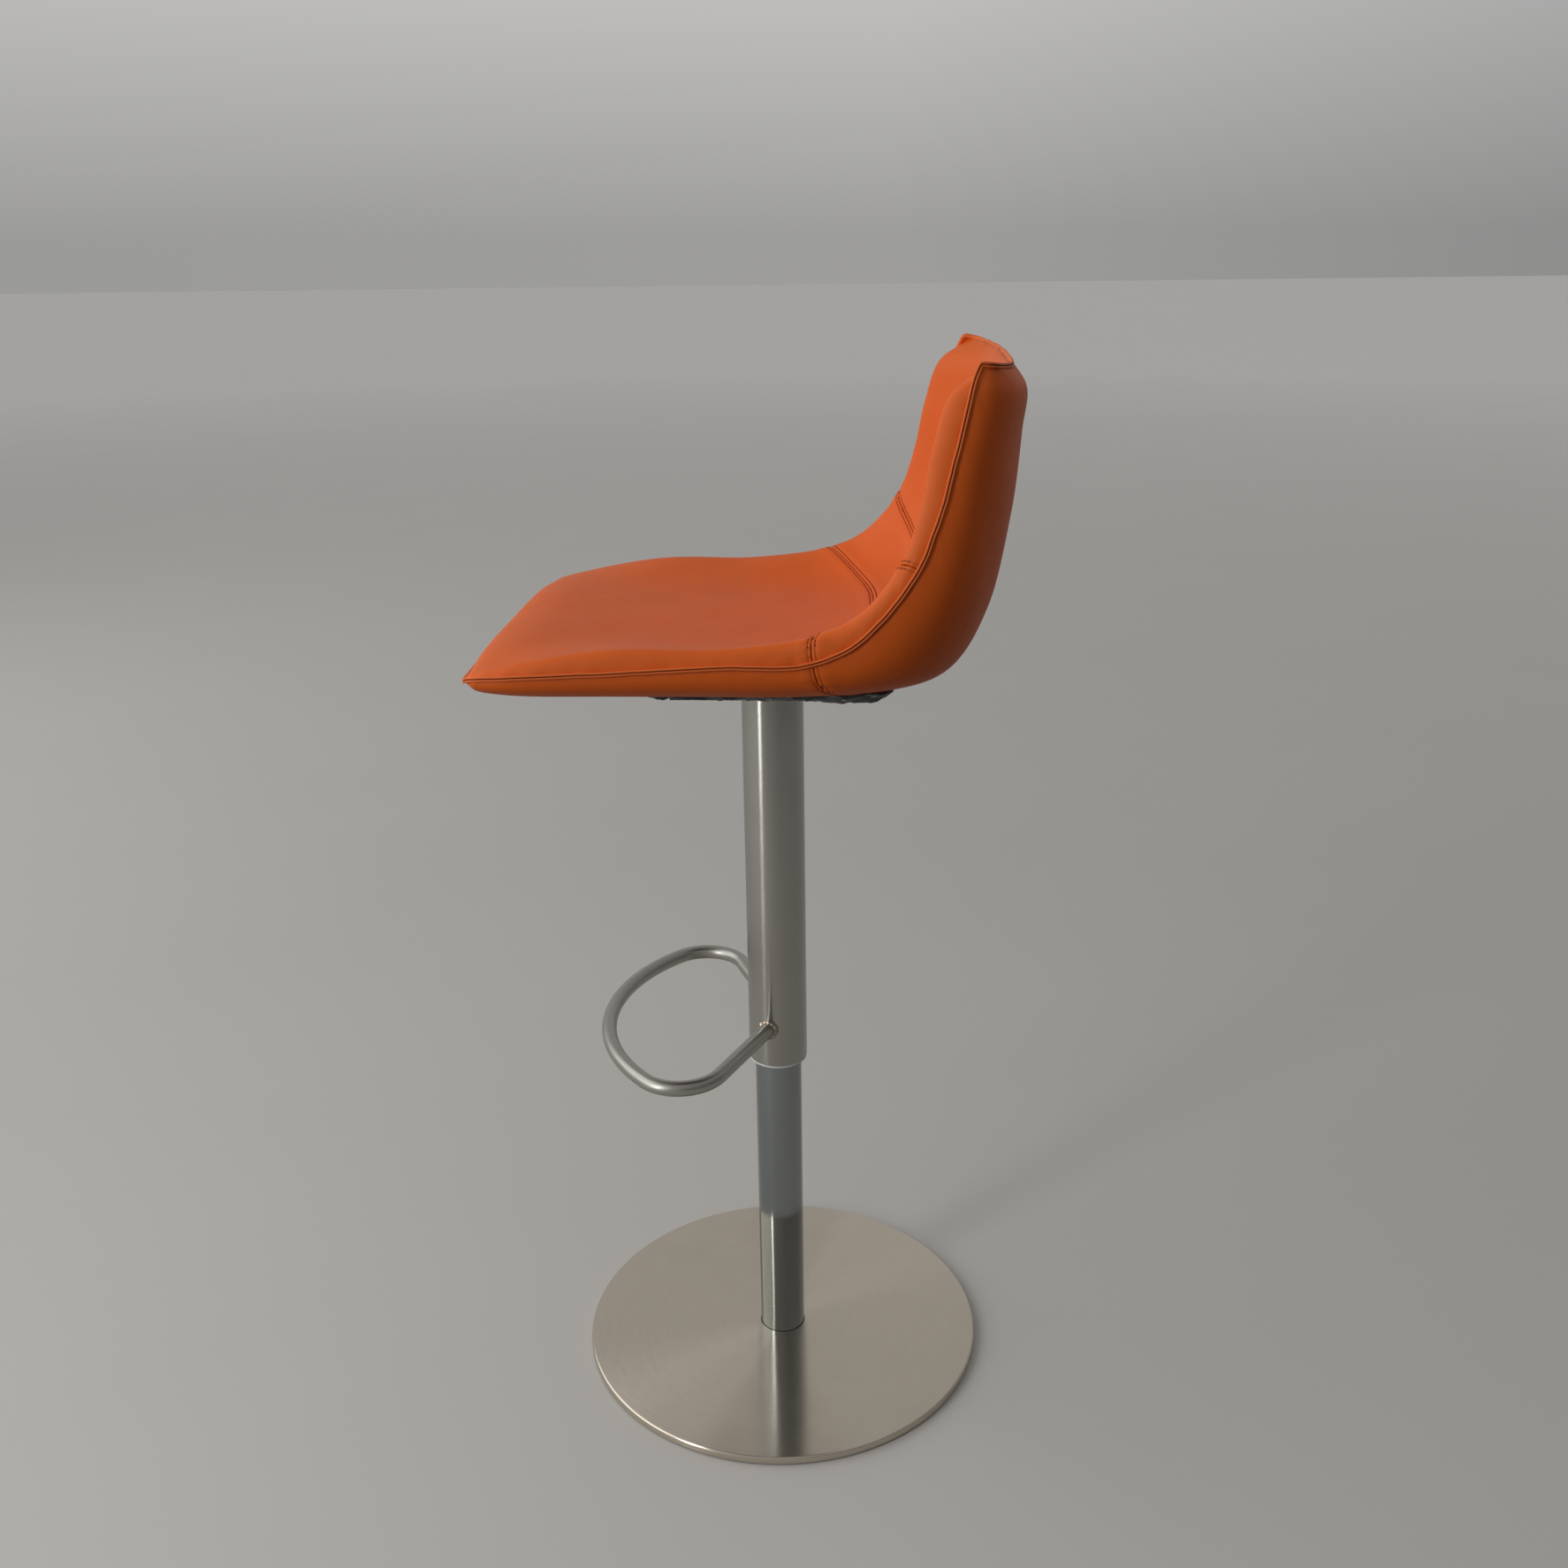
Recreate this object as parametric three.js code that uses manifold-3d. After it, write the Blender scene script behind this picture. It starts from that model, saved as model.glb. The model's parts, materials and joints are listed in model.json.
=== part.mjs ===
// Counter stool: a padded bucket seat on a gas-lift column with a footrest loop and a round base.
// Millimetres, +Z up. The origin is on the floor at the centre of the base.
// The seat faces -Y, and the sitter's left is +X. The model stands at the top of its height range.

import * as THREE from 'three';
import { mergeVertices } from 'three/addons/utils/BufferGeometryUtils.js';
import Module from 'manifold-3d';

const wasm = await Module();
wasm.setup();

// Clearances, shared by every piece
const gap = 0.3; // between two pieces that are fixed to each other
const runGap = 0.4; // between two pieces that turn or slide past each other
const overrun = 6; // how far a cutter runs past what it cuts

// Segment counts
const discSides = 64;
const tubeSides = 32;
const smallSides = 14;
const screwSides = 8;
const hexSides = 6;

// Round base
const baseRadius = 225;
const padThickness = 2;
const padInset = 7;
const plateThickness = 6;
const coverSheet = 1.2;
const coverEdgeRadius = 2.5;

// Lower column and its foot
const columnRadius = 25.4;
const columnWall = 2;
const columnTop = 460;
const plugHeight = 14;
const footScrewRadius = 3;
const footScrewHeadRadius = 6;
const footScrewCircle = 16;
const footScrewGrip = 10;
const footScrewCount = 3;
const screwRecess = 2;

// Guide bush in the column's mouth
const bushLength = 60;
const bushFlange = 3;

// Gas rod and thrust bearing
const rodRadius = 5;
const rodNeckRadius = 4;
const rodCollarRadius = 9;
const rodCollarHeight = 4;
const rodFloorGap = 2; // from the floor pad to the rod's lower end
const clipThickness = 1.2;
const clipRadius = 7.5;
const clipGrooveDepth = 0.8;
const clipMouthAngle = THREE.MathUtils.degToRad(35);
const bearingRadius = 17;
const bearingWasher = 1.5;
const ballRadius = 2;
const ballCircle = 12;
const ballCount = 7;
const cageThickness = 1.6;
const cageHalfWidth = 3;
const bumperHeight = 20;
const bumperRadius = 13;
const pistonHeight = 12;
const pistonLift = 6; // from the gland to the piston at full height
const nutHeight = 6;
const nutRadius = 7;

// Gas cylinder
const travel = 220; // stroke of the height adjustment
const stopGap = 1; // left between cylinder and bumper at the lowest height
const cylinderRadius = 14;
const cylinderWall = 2;
const cylinderLength = 519;
const glandHeight = 18;
const headHeight = 14;
const taperLength = 44;
const taperDrop = 0.9;
const pinRadius = 4;
const pinFlangeRadius = 7;
const pinFlangeHeight = 3;
const pinProud = 6.7;
const pinTravel = 3.6; // how far the valve is pressed

// Lift lever and its bracket
const leverWidth = 10;
const leverThickness = 6;
const leverArm = 34; // from the release pin's axis to the pivot
const leverNoseRadius = 3;
const leverEyeRadius = 6;
const pivotRadius = 2.5;
const pivotHeadRadius = 4;
const pivotHeadHeight = 2;
const bracketSheet = 2;
const bracketLength = 18;
const bracketDrop = 5; // how far the ears reach below the pivot's axis
const leverReach = 200; // from the release pin's axis to the lever's tip
const leverKneeReach = 92;
const leverTipDrop = 15;
const gripLength = 52;
const gripWidth = 24;
const gripThickness = 11;
const gripCorner = 3;
const gripPocket = 38;

// Outer sleeve and its rings
const sleeveRadius = 31.75;
const sleeveWall = 1.5;
const sleeveLength = 427;
const sleeveLeverGap = 7; // from the lever's underside to the sleeve's top
const guideRingHeight = 24;
const guideLipHeight = 2.4;
const guideLipInset = 0.6;
const collarHeight = 12;
const collarTopInset = 2;
const setScrewRadius = 2.5;
const setScrewSpread = THREE.MathUtils.degToRad(60); // how far each is turned from the -X side
const setScrewInset = 0.4;

// Footrest loop
const footrestHeightAboveSleeve = 45; // from the sleeve's lower end to the tube's axis
const footrestTubeRadius = 8;
const footrestWall = 1.5;
const footrestHalfWidth = 157;
const footrestReach = 184;
const footrestCornerRadius = 46;
const footrestCornerSetback = 93; // the corner arcs' centres, forward of the column's axis
const footrestWeldSetback = 8.5; // where the legs' axes meet the sleeve, forward of the axis
const beadThickness = 2.6;
const beadLength = 4.5;
const footrestSides = 10;
const footrestSteps = 44;

// Taper socket and pressed seat plate
const socketWall = 6;
const seatPlateThickness = 3;
const seatPlateHalfWidth = 75;
const seatPlateHalfLength = 95;
const seatPlateFlange = 16;
const seatPlateBend = 5;
const boltSpacingX = 110;
const boltSpacingY = 130;
const boltRadius = 3;
const boltHeadRadius = 5.5;
const boltHeadHeight = 4;
const washerRadius = 7.5;
const washerThickness = 1.5;
const teeFlangeRadius = 10;
const teeFlangeThickness = 1.5;
const teeBarrelWall = 1.6;

// Padded seat
const seatDepth = 517; // front to back
const seatRise = 309; // underside to top edge
const seatHalfWidth = 208;
const skinThickness = 1.3;
const shellThickness = 8;
const pipingRadius = 2.8;
const seamGap = 0.7;
const panelSheet = 1.9; // from the underside panel's flat face to the cover's lowest line
const panelLap = 7; // how far the panel laps under the edge of the cover's opening
const panelCorner = 30;
const panelPower = 4.5; // how square the panel's section is, so that it hangs flatter than the cover
const panelRiseRow = 5.4; // from this station the panel's face rises to the cover's

// Where the stations of the seat run, as shares of seatDepth along Y and of seatRise along Z.
// The columns are: middle of the inner face, crest of the side bolster, edge, middle of the outer face.
// The last two are the half width as a share of seatHalfWidth, and how square the outer face's section is.
const stationShares = [
  [-0.5185, 0.106, -0.512, 0.104, -0.506, 0.1045, -0.5185, 0.0745, 0.925, 2.8],
  [-0.503, 0.143, -0.494, 0.127, -0.486, 0.1148, -0.499, 0.034, 0.968, 3],
  [-0.441, 0.17, -0.434, 0.153, -0.424, 0.1252, -0.441, 0.016, 1, 3.1],
  [-0.2611, 0.1585, -0.2611, 0.2023, -0.2573, 0.1411, -0.2611, 0.005, 1.009, 3],
  [-0.0677, 0.1456, -0.0677, 0.205, -0.0638, 0.16, -0.0677, 0, 1.009, 3],
  [0.0967, 0.1456, 0.0812, 0.2345, 0.0909, 0.1687, 0.0967, 0, 1.005, 3],
  [0.2128, 0.178, 0.1605, 0.285, 0.165, 0.2185, 0.234, 0.006, 0.995, 3],
  [0.294, 0.2556, 0.216, 0.37, 0.2237, 0.309, 0.347, 0.039, 0.981, 2.4],
  [0.3482, 0.4143, 0.2534, 0.4693, 0.2805, 0.4433, 0.414, 0.2233, 0.958, 2.3],
  [0.3752, 0.6084, 0.2795, 0.6116, 0.3144, 0.6019, 0.45, 0.5114, 0.92, 2.3],
  [0.3888, 0.7864, 0.2973, 0.7605, 0.3405, 0.7702, 0.4662, 0.7702, 0.885, 2.3],
  [0.4023, 0.9159, 0.327, 0.9029, 0.3607, 0.9224, 0.47, 0.88, 0.845, 2.4],
  [0.43, 0.9644, 0.4, 0.974, 0.3738, 0.979, 0.4455, 0.9434, 0.79, 2.4],
];
const crestShare = 0.95; // of the half width
const crestPower = 3; // how late the inner face rises to the crest
const lastStation = stationShares.length - 1;

// Grid lines of the seat's layers, in stations and in shares of the half width
const rowLines = [0, 0.45, 1, 1.5, 2, 3, 4, 4.6, 5.12, 5.6, 6, 6.5, 7, 7.5, 7.93, 8.5, 9.2, 10, 11, 11.55, 12];
const columnShares = [0, 0.22, 0.44, 0.62, 0.77, 0.88, 0.95, 0.983, 0.998];
const shellEdgeShare = 0.88;
const foamEdgeShare = 0.983;
const rimShare = 0.998;
const shellFirstRow = 1;
const foamFirstRow = 0.45;
const lowerSeamRow = 5.12; // at the edges
const upperSeamRow = 7.93;
const lowerSeamBow = 0.74; // how far back the lower seam bows in the middle, in stations
const lowerSeamPower = 3; // how late the bow bends back towards the edges
const upperSeamBow = 0.95; // how far down the upper seam bows in the middle
const upperSeamPower = 4;
const bowFirstRow = 3.5; // the grid lines between these stations bow with the seams
const bowLastRow = 10.5;
const openingHalfWidthShare = 0.721; // of seatHalfWidth
const openingFrontShare = -0.2031; // of seatDepth
const openingBackShare = 0.2282;
const deepestShare = 0.42; // most of a fibre that one layer's depth may take
const skinSlopeLimit = 2; // most that a slanted wall lengthens a layer's depth along its fibre
const pipingSides = 8;

// Levels, worked out from the floor up
const plateBottom = padThickness + gap;
const plateTop = plateBottom + plateThickness;
const coverUnder = plateTop + gap;
const baseTop = coverUnder + coverSheet;
const columnBottom = plateTop + gap;
const plugTop = columnBottom + plugHeight;
const lowerWasherBottom = plugTop + gap;
const ballCentre = lowerWasherBottom + bearingWasher + gap + ballRadius;
const upperWasherBottom = ballCentre + ballRadius + gap;
const rodCollarBottom = upperWasherBottom + bearingWasher + gap;
const bumperBottom = rodCollarBottom + rodCollarHeight + gap;
const bumperTop = bumperBottom + bumperHeight;
const cylinderBottom = bumperTop + stopGap + travel;
const glandBottom = cylinderBottom + gap;
const pistonBottom = glandBottom + glandHeight + pistonLift;
const pistonTop = pistonBottom + pistonHeight;
const cylinderTop = cylinderBottom + cylinderLength;
const pinTop = cylinderTop + pinProud;
const leverNoseCentre = pinTop + gap + leverNoseRadius;
const pivotHeight = leverNoseCentre - leverNoseRadius / 2;
const bracketTop = pivotHeight + leverEyeRadius + runGap + bracketSheet;
const seatPlateBottom = bracketTop + gap;
const seatPlateTop = seatPlateBottom + seatPlateThickness;
const panelBottom = seatPlateTop + gap;
const seatBottom = panelBottom + panelSheet;
const leverUnderside = pivotHeight - leverThickness / 2;
const sleeveTop = leverUnderside - sleeveLeverGap;
const sleeveBottom = sleeveTop - sleeveLength;
const collarBottom = sleeveTop - collarTopInset - collarHeight;
const footrestHeight = sleeveBottom + footrestHeightAboveSleeve;
const columnInner = columnRadius - columnWall;
const cylinderInner = cylinderRadius - cylinderWall;
const sleeveInner = sleeveRadius - sleeveWall;
const socketRadius = cylinderRadius + gap + socketWall;

// Finishes
function finish(color, roughness, metalness) {
  return () => new THREE.MeshStandardMaterial({ color, roughness, metalness });
}
const brushedSteel = finish(0x9d968a, 0.34, 1);
const polishedSteel = finish(0xb9b8b2, 0.08, 1);
const plainSteel = finish(0x8b8d90, 0.4, 1);
const zincSteel = finish(0xb4b7ba, 0.35, 1);
const blackSteel = finish(0x232425, 0.5, 0.6);
const paleNylon = finish(0xc9c9c4, 0.5, 0);
const blackNylon = finish(0x1d1d1e, 0.55, 0);
const blackRubber = finish(0x191919, 0.85, 0);
const blackFabric = finish(0x17181b, 0.95, 0);
const plywood = finish(0xb98f5e, 0.7, 0);
const foamRubber = finish(0xe8dcae, 0.95, 0);
const tanLeather = finish(0xb9562a, 0.48, 0);
const tanPiping = finish(0x8f3420, 0.45, 0);

// Geometry helpers
function signedVolume(geometry) {
  const p = geometry.getAttribute('position');
  const index = geometry.getIndex().array;
  const a = new THREE.Vector3();
  const b = new THREE.Vector3();
  const c = new THREE.Vector3();
  let sum = 0;
  for (let i = 0; i < index.length; i += 3) {
    a.fromBufferAttribute(p, index[i]);
    b.fromBufferAttribute(p, index[i + 1]);
    c.fromBufferAttribute(p, index[i + 2]);
    sum += a.dot(b.cross(c));
  }
  return sum;
}

// Merges a geometry's vertices, drops collapsed triangles and points its faces outwards
function sealed(geometry) {
  const bare = geometry.clone();
  bare.deleteAttribute('normal');
  bare.deleteAttribute('uv');
  const merged = mergeVertices(bare);
  const old = merged.getIndex().array;
  const kept = [];
  for (let i = 0; i < old.length; i += 3) {
    const [a, b, c] = [old[i], old[i + 1], old[i + 2]];
    if (a !== b && b !== c && c !== a) kept.push(a, b, c);
  }
  merged.setIndex(kept);
  if (signedVolume(merged) < 0) {
    for (let i = 0; i < kept.length; i += 3) [kept[i], kept[i + 1]] = [kept[i + 1], kept[i]];
    merged.setIndex(kept);
  }
  return merged;
}

function toSolid(geometry) {
  const closed = sealed(geometry);
  return new wasm.Manifold(new wasm.Mesh({
    numProp: 3,
    vertProperties: new Float32Array(closed.getAttribute('position').array),
    triVerts: new Uint32Array(closed.getIndex().array),
  }));
}

function toGeometry(solid) {
  const mesh = solid.getMesh();
  const geometry = new THREE.BufferGeometry();
  geometry.setAttribute('position', new THREE.BufferAttribute(new Float32Array(mesh.vertProperties), 3));
  geometry.setIndex(Array.from(mesh.triVerts));
  return geometry;
}

function cut(geometry, ...tools) {
  return toGeometry(tools.reduce((solid, tool) => solid.subtract(toSolid(tool)), toSolid(geometry)));
}

function common(geometry, other) {
  return toGeometry(toSolid(geometry).intersect(toSolid(other)));
}

function join(geometry, ...others) {
  return toGeometry(others.reduce((solid, other) => solid.add(toSolid(other)), toSolid(geometry)));
}

// A solid of revolution about Z, from [radius, height] points
function revolve(points, sides) {
  const profile = points.map(([r, z]) => new THREE.Vector2(r, z));
  return new THREE.LatheGeometry(profile, sides).rotateX(Math.PI / 2);
}

// A ring about Z with a rectangular section
function ring(inner, outer, bottom, top, sides) {
  const section = [[inner, bottom], [outer, bottom], [outer, top], [inner, top], [inner, bottom]];
  return revolve(section, sides);
}

function disc(radius, bottom, top, sides) {
  return revolve([[0, bottom], [radius, bottom], [radius, top], [0, top]], sides);
}

function box(xLow, xHigh, yLow, yHigh, zLow, zHigh) {
  const body = new THREE.BoxGeometry(xHigh - xLow, yHigh - yLow, zHigh - zLow);
  return body.translate((xLow + xHigh) / 2, (yLow + yHigh) / 2, (zLow + zHigh) / 2);
}

// Lays a solid that stands on Z along Y
function alongY(geometry) {
  return geometry.rotateX(Math.PI / 2);
}

function add(group, name, geometry, material, x = 0, y = 0, z = 0, turn = 0) {
  const mesh = new THREE.Mesh(sealed(geometry), material());
  mesh.name = name;
  mesh.position.set(x, y, z);
  mesh.rotation.z = turn;
  group.add(mesh);
  return mesh;
}

function onCircle(count, radius) {
  return Array.from({ length: count }, (_, i) => {
    const angle = (2 * Math.PI * i) / count;
    return { number: i + 1, x: radius * Math.cos(angle), y: radius * Math.sin(angle) };
  });
}

// Base: floor pad, weight plate and disc cover
function makeWeightPlate() {
  const headTop = plateBottom + footScrewHeadRadius - footScrewRadius;
  const tools = [disc(clipRadius + gap * 3, plateBottom - overrun, plateTop + overrun, smallSides)];
  for (const hole of onCircle(footScrewCount, footScrewCircle)) {
    const mouth = footScrewHeadRadius + gap;
    const bore = footScrewRadius + gap;
    const profile = [
      [0, plateBottom - overrun], [mouth, plateBottom - overrun], [mouth, plateBottom + gap],
      [bore, headTop + gap], [bore, plateTop + overrun], [0, plateTop + overrun],
    ];
    tools.push(revolve(profile, screwSides).translate(hole.x, hole.y, 0));
  }
  return cut(disc(baseRadius - coverSheet - runGap, plateBottom, plateTop, discSides), ...tools);
}

function makeBaseCover() {
  const outer = baseRadius;
  const inner = baseRadius - coverSheet;
  const hole = columnRadius + gap;
  const profile = [[hole, coverUnder], [inner, coverUnder], [inner, padThickness], [outer, padThickness]];
  const turns = 2;
  for (let i = 0; i <= turns; i += 1) {
    const a = (Math.PI / 2) * (i / turns);
    const r = outer - coverEdgeRadius + coverEdgeRadius * Math.cos(a);
    profile.push([r, baseTop - coverEdgeRadius + coverEdgeRadius * Math.sin(a)]);
  }
  profile.push([hole, baseTop], [hole, coverUnder]);
  return revolve(profile, discSides);
}

// A countersunk screw, head down, with a hexagon recess
function makeFootScrew() {
  const headHeight = footScrewHeadRadius - footScrewRadius;
  const profile = [
    [0, 0], [footScrewHeadRadius, 0], [footScrewRadius, headHeight],
    [footScrewRadius, headHeight + footScrewGrip], [0, headHeight + footScrewGrip],
  ];
  const recess = disc(footScrewRadius / 2, -overrun, screwRecess, hexSides);
  return cut(revolve(profile, screwSides), recess);
}

function makeFootPlug() {
  const tools = [disc(rodNeckRadius + runGap, columnBottom - overrun, plugTop + overrun, smallSides)];
  for (const hole of onCircle(footScrewCount, footScrewCircle)) {
    const bore = disc(footScrewRadius + gap, columnBottom - overrun, plugTop + overrun, screwSides);
    tools.push(bore.translate(hole.x, hole.y, 0));
  }
  return cut(disc(columnInner - gap, columnBottom, plugTop, tubeSides), ...tools);
}

function makeColumnBush() {
  const bore = cylinderRadius + runGap;
  const flangeBottom = columnTop + gap;
  return revolve([
    [bore, columnTop - bushLength], [columnInner - gap, columnTop - bushLength],
    [columnInner - gap, flangeBottom], [columnRadius, flangeBottom],
    [columnRadius, flangeBottom + bushFlange], [bore, flangeBottom + bushFlange],
    [bore, columnTop - bushLength],
  ], tubeSides);
}

// Ball cage of the thrust bearing: the balls are held captive in their ring
function makeBallCage() {
  const low = ballCentre - cageThickness / 2;
  const cage = ring(ballCircle - cageHalfWidth, ballCircle + cageHalfWidth, low, low + cageThickness, smallSides);
  const balls = onCircle(ballCount, ballCircle).map((seat) => {
    return new THREE.SphereGeometry(ballRadius, hexSides, hexSides - 2).translate(seat.x, seat.y, ballCentre);
  });
  return join(cage, ...balls);
}

function buildBase() {
  const base = new THREE.Group();
  add(base, 'floor_pad', disc(baseRadius - padInset, 0, padThickness, discSides), blackRubber);
  add(base, 'weight_plate', makeWeightPlate(), plainSteel);
  add(base, 'base_cover', makeBaseCover(), brushedSteel);
  add(base, 'lower_column', ring(columnInner, columnRadius, columnBottom, columnTop, tubeSides), polishedSteel);
  add(base, 'column_foot_plug', makeFootPlug(), plainSteel);
  for (const place of onCircle(footScrewCount, footScrewCircle)) {
    add(base, `foot_screw_${place.number}`, makeFootScrew(), zincSteel, place.x, place.y, plateBottom + gap);
  }
  add(base, 'column_guide_bush', makeColumnBush(), blackNylon);
  const washer = ring(rodNeckRadius + runGap, bearingRadius, lowerWasherBottom,
    lowerWasherBottom + bearingWasher, smallSides);
  add(base, 'bearing_lower_washer', washer, plainSteel);
  add(base, 'bearing_ball_cage', makeBallCage(), zincSteel);
  return base;
}

// Gas rod: it turns on the thrust bearing and is held down by a clip under the foot plug
const rodBottom = padThickness + rodFloorGap;
const clipTop = columnBottom - gap;
const clipBottom = clipTop - clipThickness;

function makeRod() {
  const groove = rodNeckRadius - clipGrooveDepth;
  const collarTop = rodCollarBottom + rodCollarHeight;
  const shoulder = pistonBottom - gap;
  const tip = pistonTop + gap + nutHeight;
  return revolve([
    [0, rodBottom], [rodNeckRadius, rodBottom], [rodNeckRadius, clipBottom - gap], [groove, clipBottom - gap],
    [groove, clipTop + gap], [rodNeckRadius, clipTop + gap], [rodNeckRadius, rodCollarBottom],
    [rodCollarRadius, rodCollarBottom], [rodCollarRadius, collarTop], [rodRadius, collarTop],
    [rodRadius, shoulder], [rodNeckRadius, shoulder], [rodNeckRadius, tip], [0, tip],
  ], smallSides);
}

// An open retaining ring in the rod's groove
function makeClip() {
  const inner = rodNeckRadius - clipGrooveDepth + gap;
  const shape = new THREE.Shape();
  shape.absarc(0, 0, clipRadius, clipMouthAngle, 2 * Math.PI - clipMouthAngle, false);
  shape.absarc(0, 0, inner, 2 * Math.PI - clipMouthAngle, clipMouthAngle, true);
  const body = new THREE.ExtrudeGeometry(shape, { depth: clipThickness, bevelEnabled: false, curveSegments: hexSides });
  return body.translate(0, 0, clipBottom);
}

function buildGasRod() {
  const rod = new THREE.Group();
  add(rod, 'gas_rod', makeRod(), polishedSteel);
  add(rod, 'rod_clip', makeClip(), plainSteel);
  const washer = ring(rodNeckRadius + gap, bearingRadius, upperWasherBottom,
    upperWasherBottom + bearingWasher, smallSides);
  add(rod, 'bearing_upper_washer', washer, plainSteel);
  add(rod, 'rubber_bumper', ring(rodRadius + gap, bumperRadius, bumperBottom, bumperTop, smallSides), blackRubber);
  const piston = ring(rodNeckRadius + gap, cylinderInner - runGap, pistonBottom, pistonTop, smallSides);
  add(rod, 'gas_piston', piston, blackNylon);
  const nutBottom = pistonTop + gap;
  const nutBore = disc(rodNeckRadius + gap, nutBottom - overrun, nutBottom + nutHeight + overrun, smallSides);
  add(rod, 'piston_nut', cut(disc(nutRadius, nutBottom, nutBottom + nutHeight, hexSides), nutBore), zincSteel);
  return rod;
}

// Gas cylinder with its taper head, open at the gland end
function makeCylinder() {
  const bore = pinRadius + runGap;
  const ceiling = cylinderTop - headHeight;
  return revolve([
    [cylinderInner, cylinderBottom], [cylinderRadius, cylinderBottom], [cylinderRadius, cylinderTop - taperLength],
    [cylinderRadius - taperDrop, cylinderTop], [bore, cylinderTop], [bore, ceiling], [cylinderInner, ceiling],
    [cylinderInner, cylinderBottom],
  ], tubeSides);
}

function makeReleasePin() {
  const ceiling = cylinderTop - headHeight;
  const flangeTop = ceiling - gap;
  return revolve([
    [0, flangeTop - pinFlangeHeight], [pinFlangeRadius, flangeTop - pinFlangeHeight], [pinFlangeRadius, flangeTop],
    [pinRadius, flangeTop], [pinRadius, pinTop], [0, pinTop],
  ], smallSides);
}

// Taper socket: bored to the cylinder's head, with a slot for the lever on the -X side
function makeSocket() {
  const top = seatPlateBottom - gap;
  const bottom = cylinderTop - taperLength;
  const mouth = cylinderRadius + gap;
  const throat = cylinderRadius - taperDrop + gap;
  const body = revolve([
    [mouth, bottom], [socketRadius, bottom], [socketRadius, top], [throat, top], [throat, cylinderTop],
    [mouth, bottom],
  ], tubeSides);
  const halfSlot = leverWidth / 2 + runGap;
  const slotBottom = leverUnderside - pinTravel;
  return cut(body, box(-socketRadius - overrun, 0, -halfSlot, halfSlot, slotBottom, top + overrun));
}

// Outer sleeve with two set screws near its top, which hold it to its collar
function setScrewTool(radius, from, to) {
  return disc(radius, from, to, screwSides).rotateY(Math.PI / 2);
}

const setScrewHeight = collarBottom + collarHeight / 2;
const setScrewTurns = [Math.PI - setScrewSpread, Math.PI + setScrewSpread];

function drilled(geometry) {
  const tools = setScrewTurns.map((turn) => {
    const drill = setScrewTool(setScrewRadius + gap, socketRadius - overrun, sleeveRadius + overrun);
    return drill.rotateZ(turn).translate(0, 0, setScrewHeight);
  });
  return cut(geometry, ...tools);
}

function makeSetScrew() {
  const outer = sleeveRadius - setScrewInset;
  const body = setScrewTool(setScrewRadius, socketRadius + gap, outer);
  const recess = disc(setScrewRadius / 2, outer - screwRecess, outer + overrun, hexSides).rotateY(Math.PI / 2);
  return cut(body, recess);
}

function makeGuideRing() {
  const bore = columnRadius + runGap;
  const lipTop = sleeveBottom - gap;
  const body = sleeveInner - gap;
  const lip = sleeveRadius - guideLipInset;
  return revolve([
    [bore, lipTop - guideLipHeight], [lip, lipTop - guideLipHeight], [lip, lipTop], [body, lipTop],
    [body, lipTop + guideRingHeight], [bore, lipTop + guideRingHeight], [bore, lipTop - guideLipHeight],
  ], tubeSides);
}

function buildColumn() {
  const column = new THREE.Group();
  add(column, 'gas_cylinder', makeCylinder(), blackSteel);
  const gland = ring(rodRadius + runGap, cylinderInner - gap, glandBottom, glandBottom + glandHeight, smallSides);
  add(column, 'cylinder_gland', gland, blackNylon);
  const sleeve = ring(sleeveInner, sleeveRadius, sleeveBottom, sleeveTop, tubeSides);
  add(column, 'sleeve_tube', drilled(sleeve), brushedSteel);
  add(column, 'sleeve_guide_ring', makeGuideRing(), paleNylon);
  const collar = ring(socketRadius + gap, sleeveInner - gap, collarBottom, collarBottom + collarHeight, tubeSides);
  add(column, 'sleeve_collar', drilled(collar), plainSteel);
  setScrewTurns.forEach((turn, i) => {
    add(column, `sleeve_screw_${i + 1}`, makeSetScrew(), zincSteel, 0, 0, setScrewHeight, turn);
  });
  add(column, 'taper_socket', makeSocket(), plainSteel);
  return column;
}

// Footrest: two straight legs, two corner arcs and one long nose arc, all tangent, in one level plane
class Arc extends THREE.Curve {
  constructor(x, y, radius, from, to) {
    super();
    Object.assign(this, { x, y, radius, from, to });
  }

  getPoint(t, target = new THREE.Vector3()) {
    const a = this.from + (this.to - this.from) * t;
    return target.set(this.x + this.radius * Math.cos(a), this.y + this.radius * Math.sin(a), 0);
  }
}

function footrestPlan() {
  const rc = footrestCornerRadius;
  const corner = new THREE.Vector2(footrestHalfWidth - rc, -footrestCornerSetback);
  const weldX = Math.sqrt(sleeveRadius ** 2 - footrestWeldSetback ** 2);
  const weld = new THREE.Vector2(weldX, -footrestWeldSetback);
  const toCorner = corner.clone().sub(weld);
  const lean = Math.acos(rc / toCorner.length());
  const touch = Math.atan2(-toCorner.y, -toCorner.x) - lean;
  const reach = footrestReach + corner.y;
  const nose = (corner.x ** 2 + reach ** 2 - rc ** 2) / (2 * (reach - rc));
  const noseY = nose - footrestReach;
  const split = Math.atan2(corner.y - noseY, corner.x);
  return { corner, weld, touch, nose, noseY, split };
}

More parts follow.
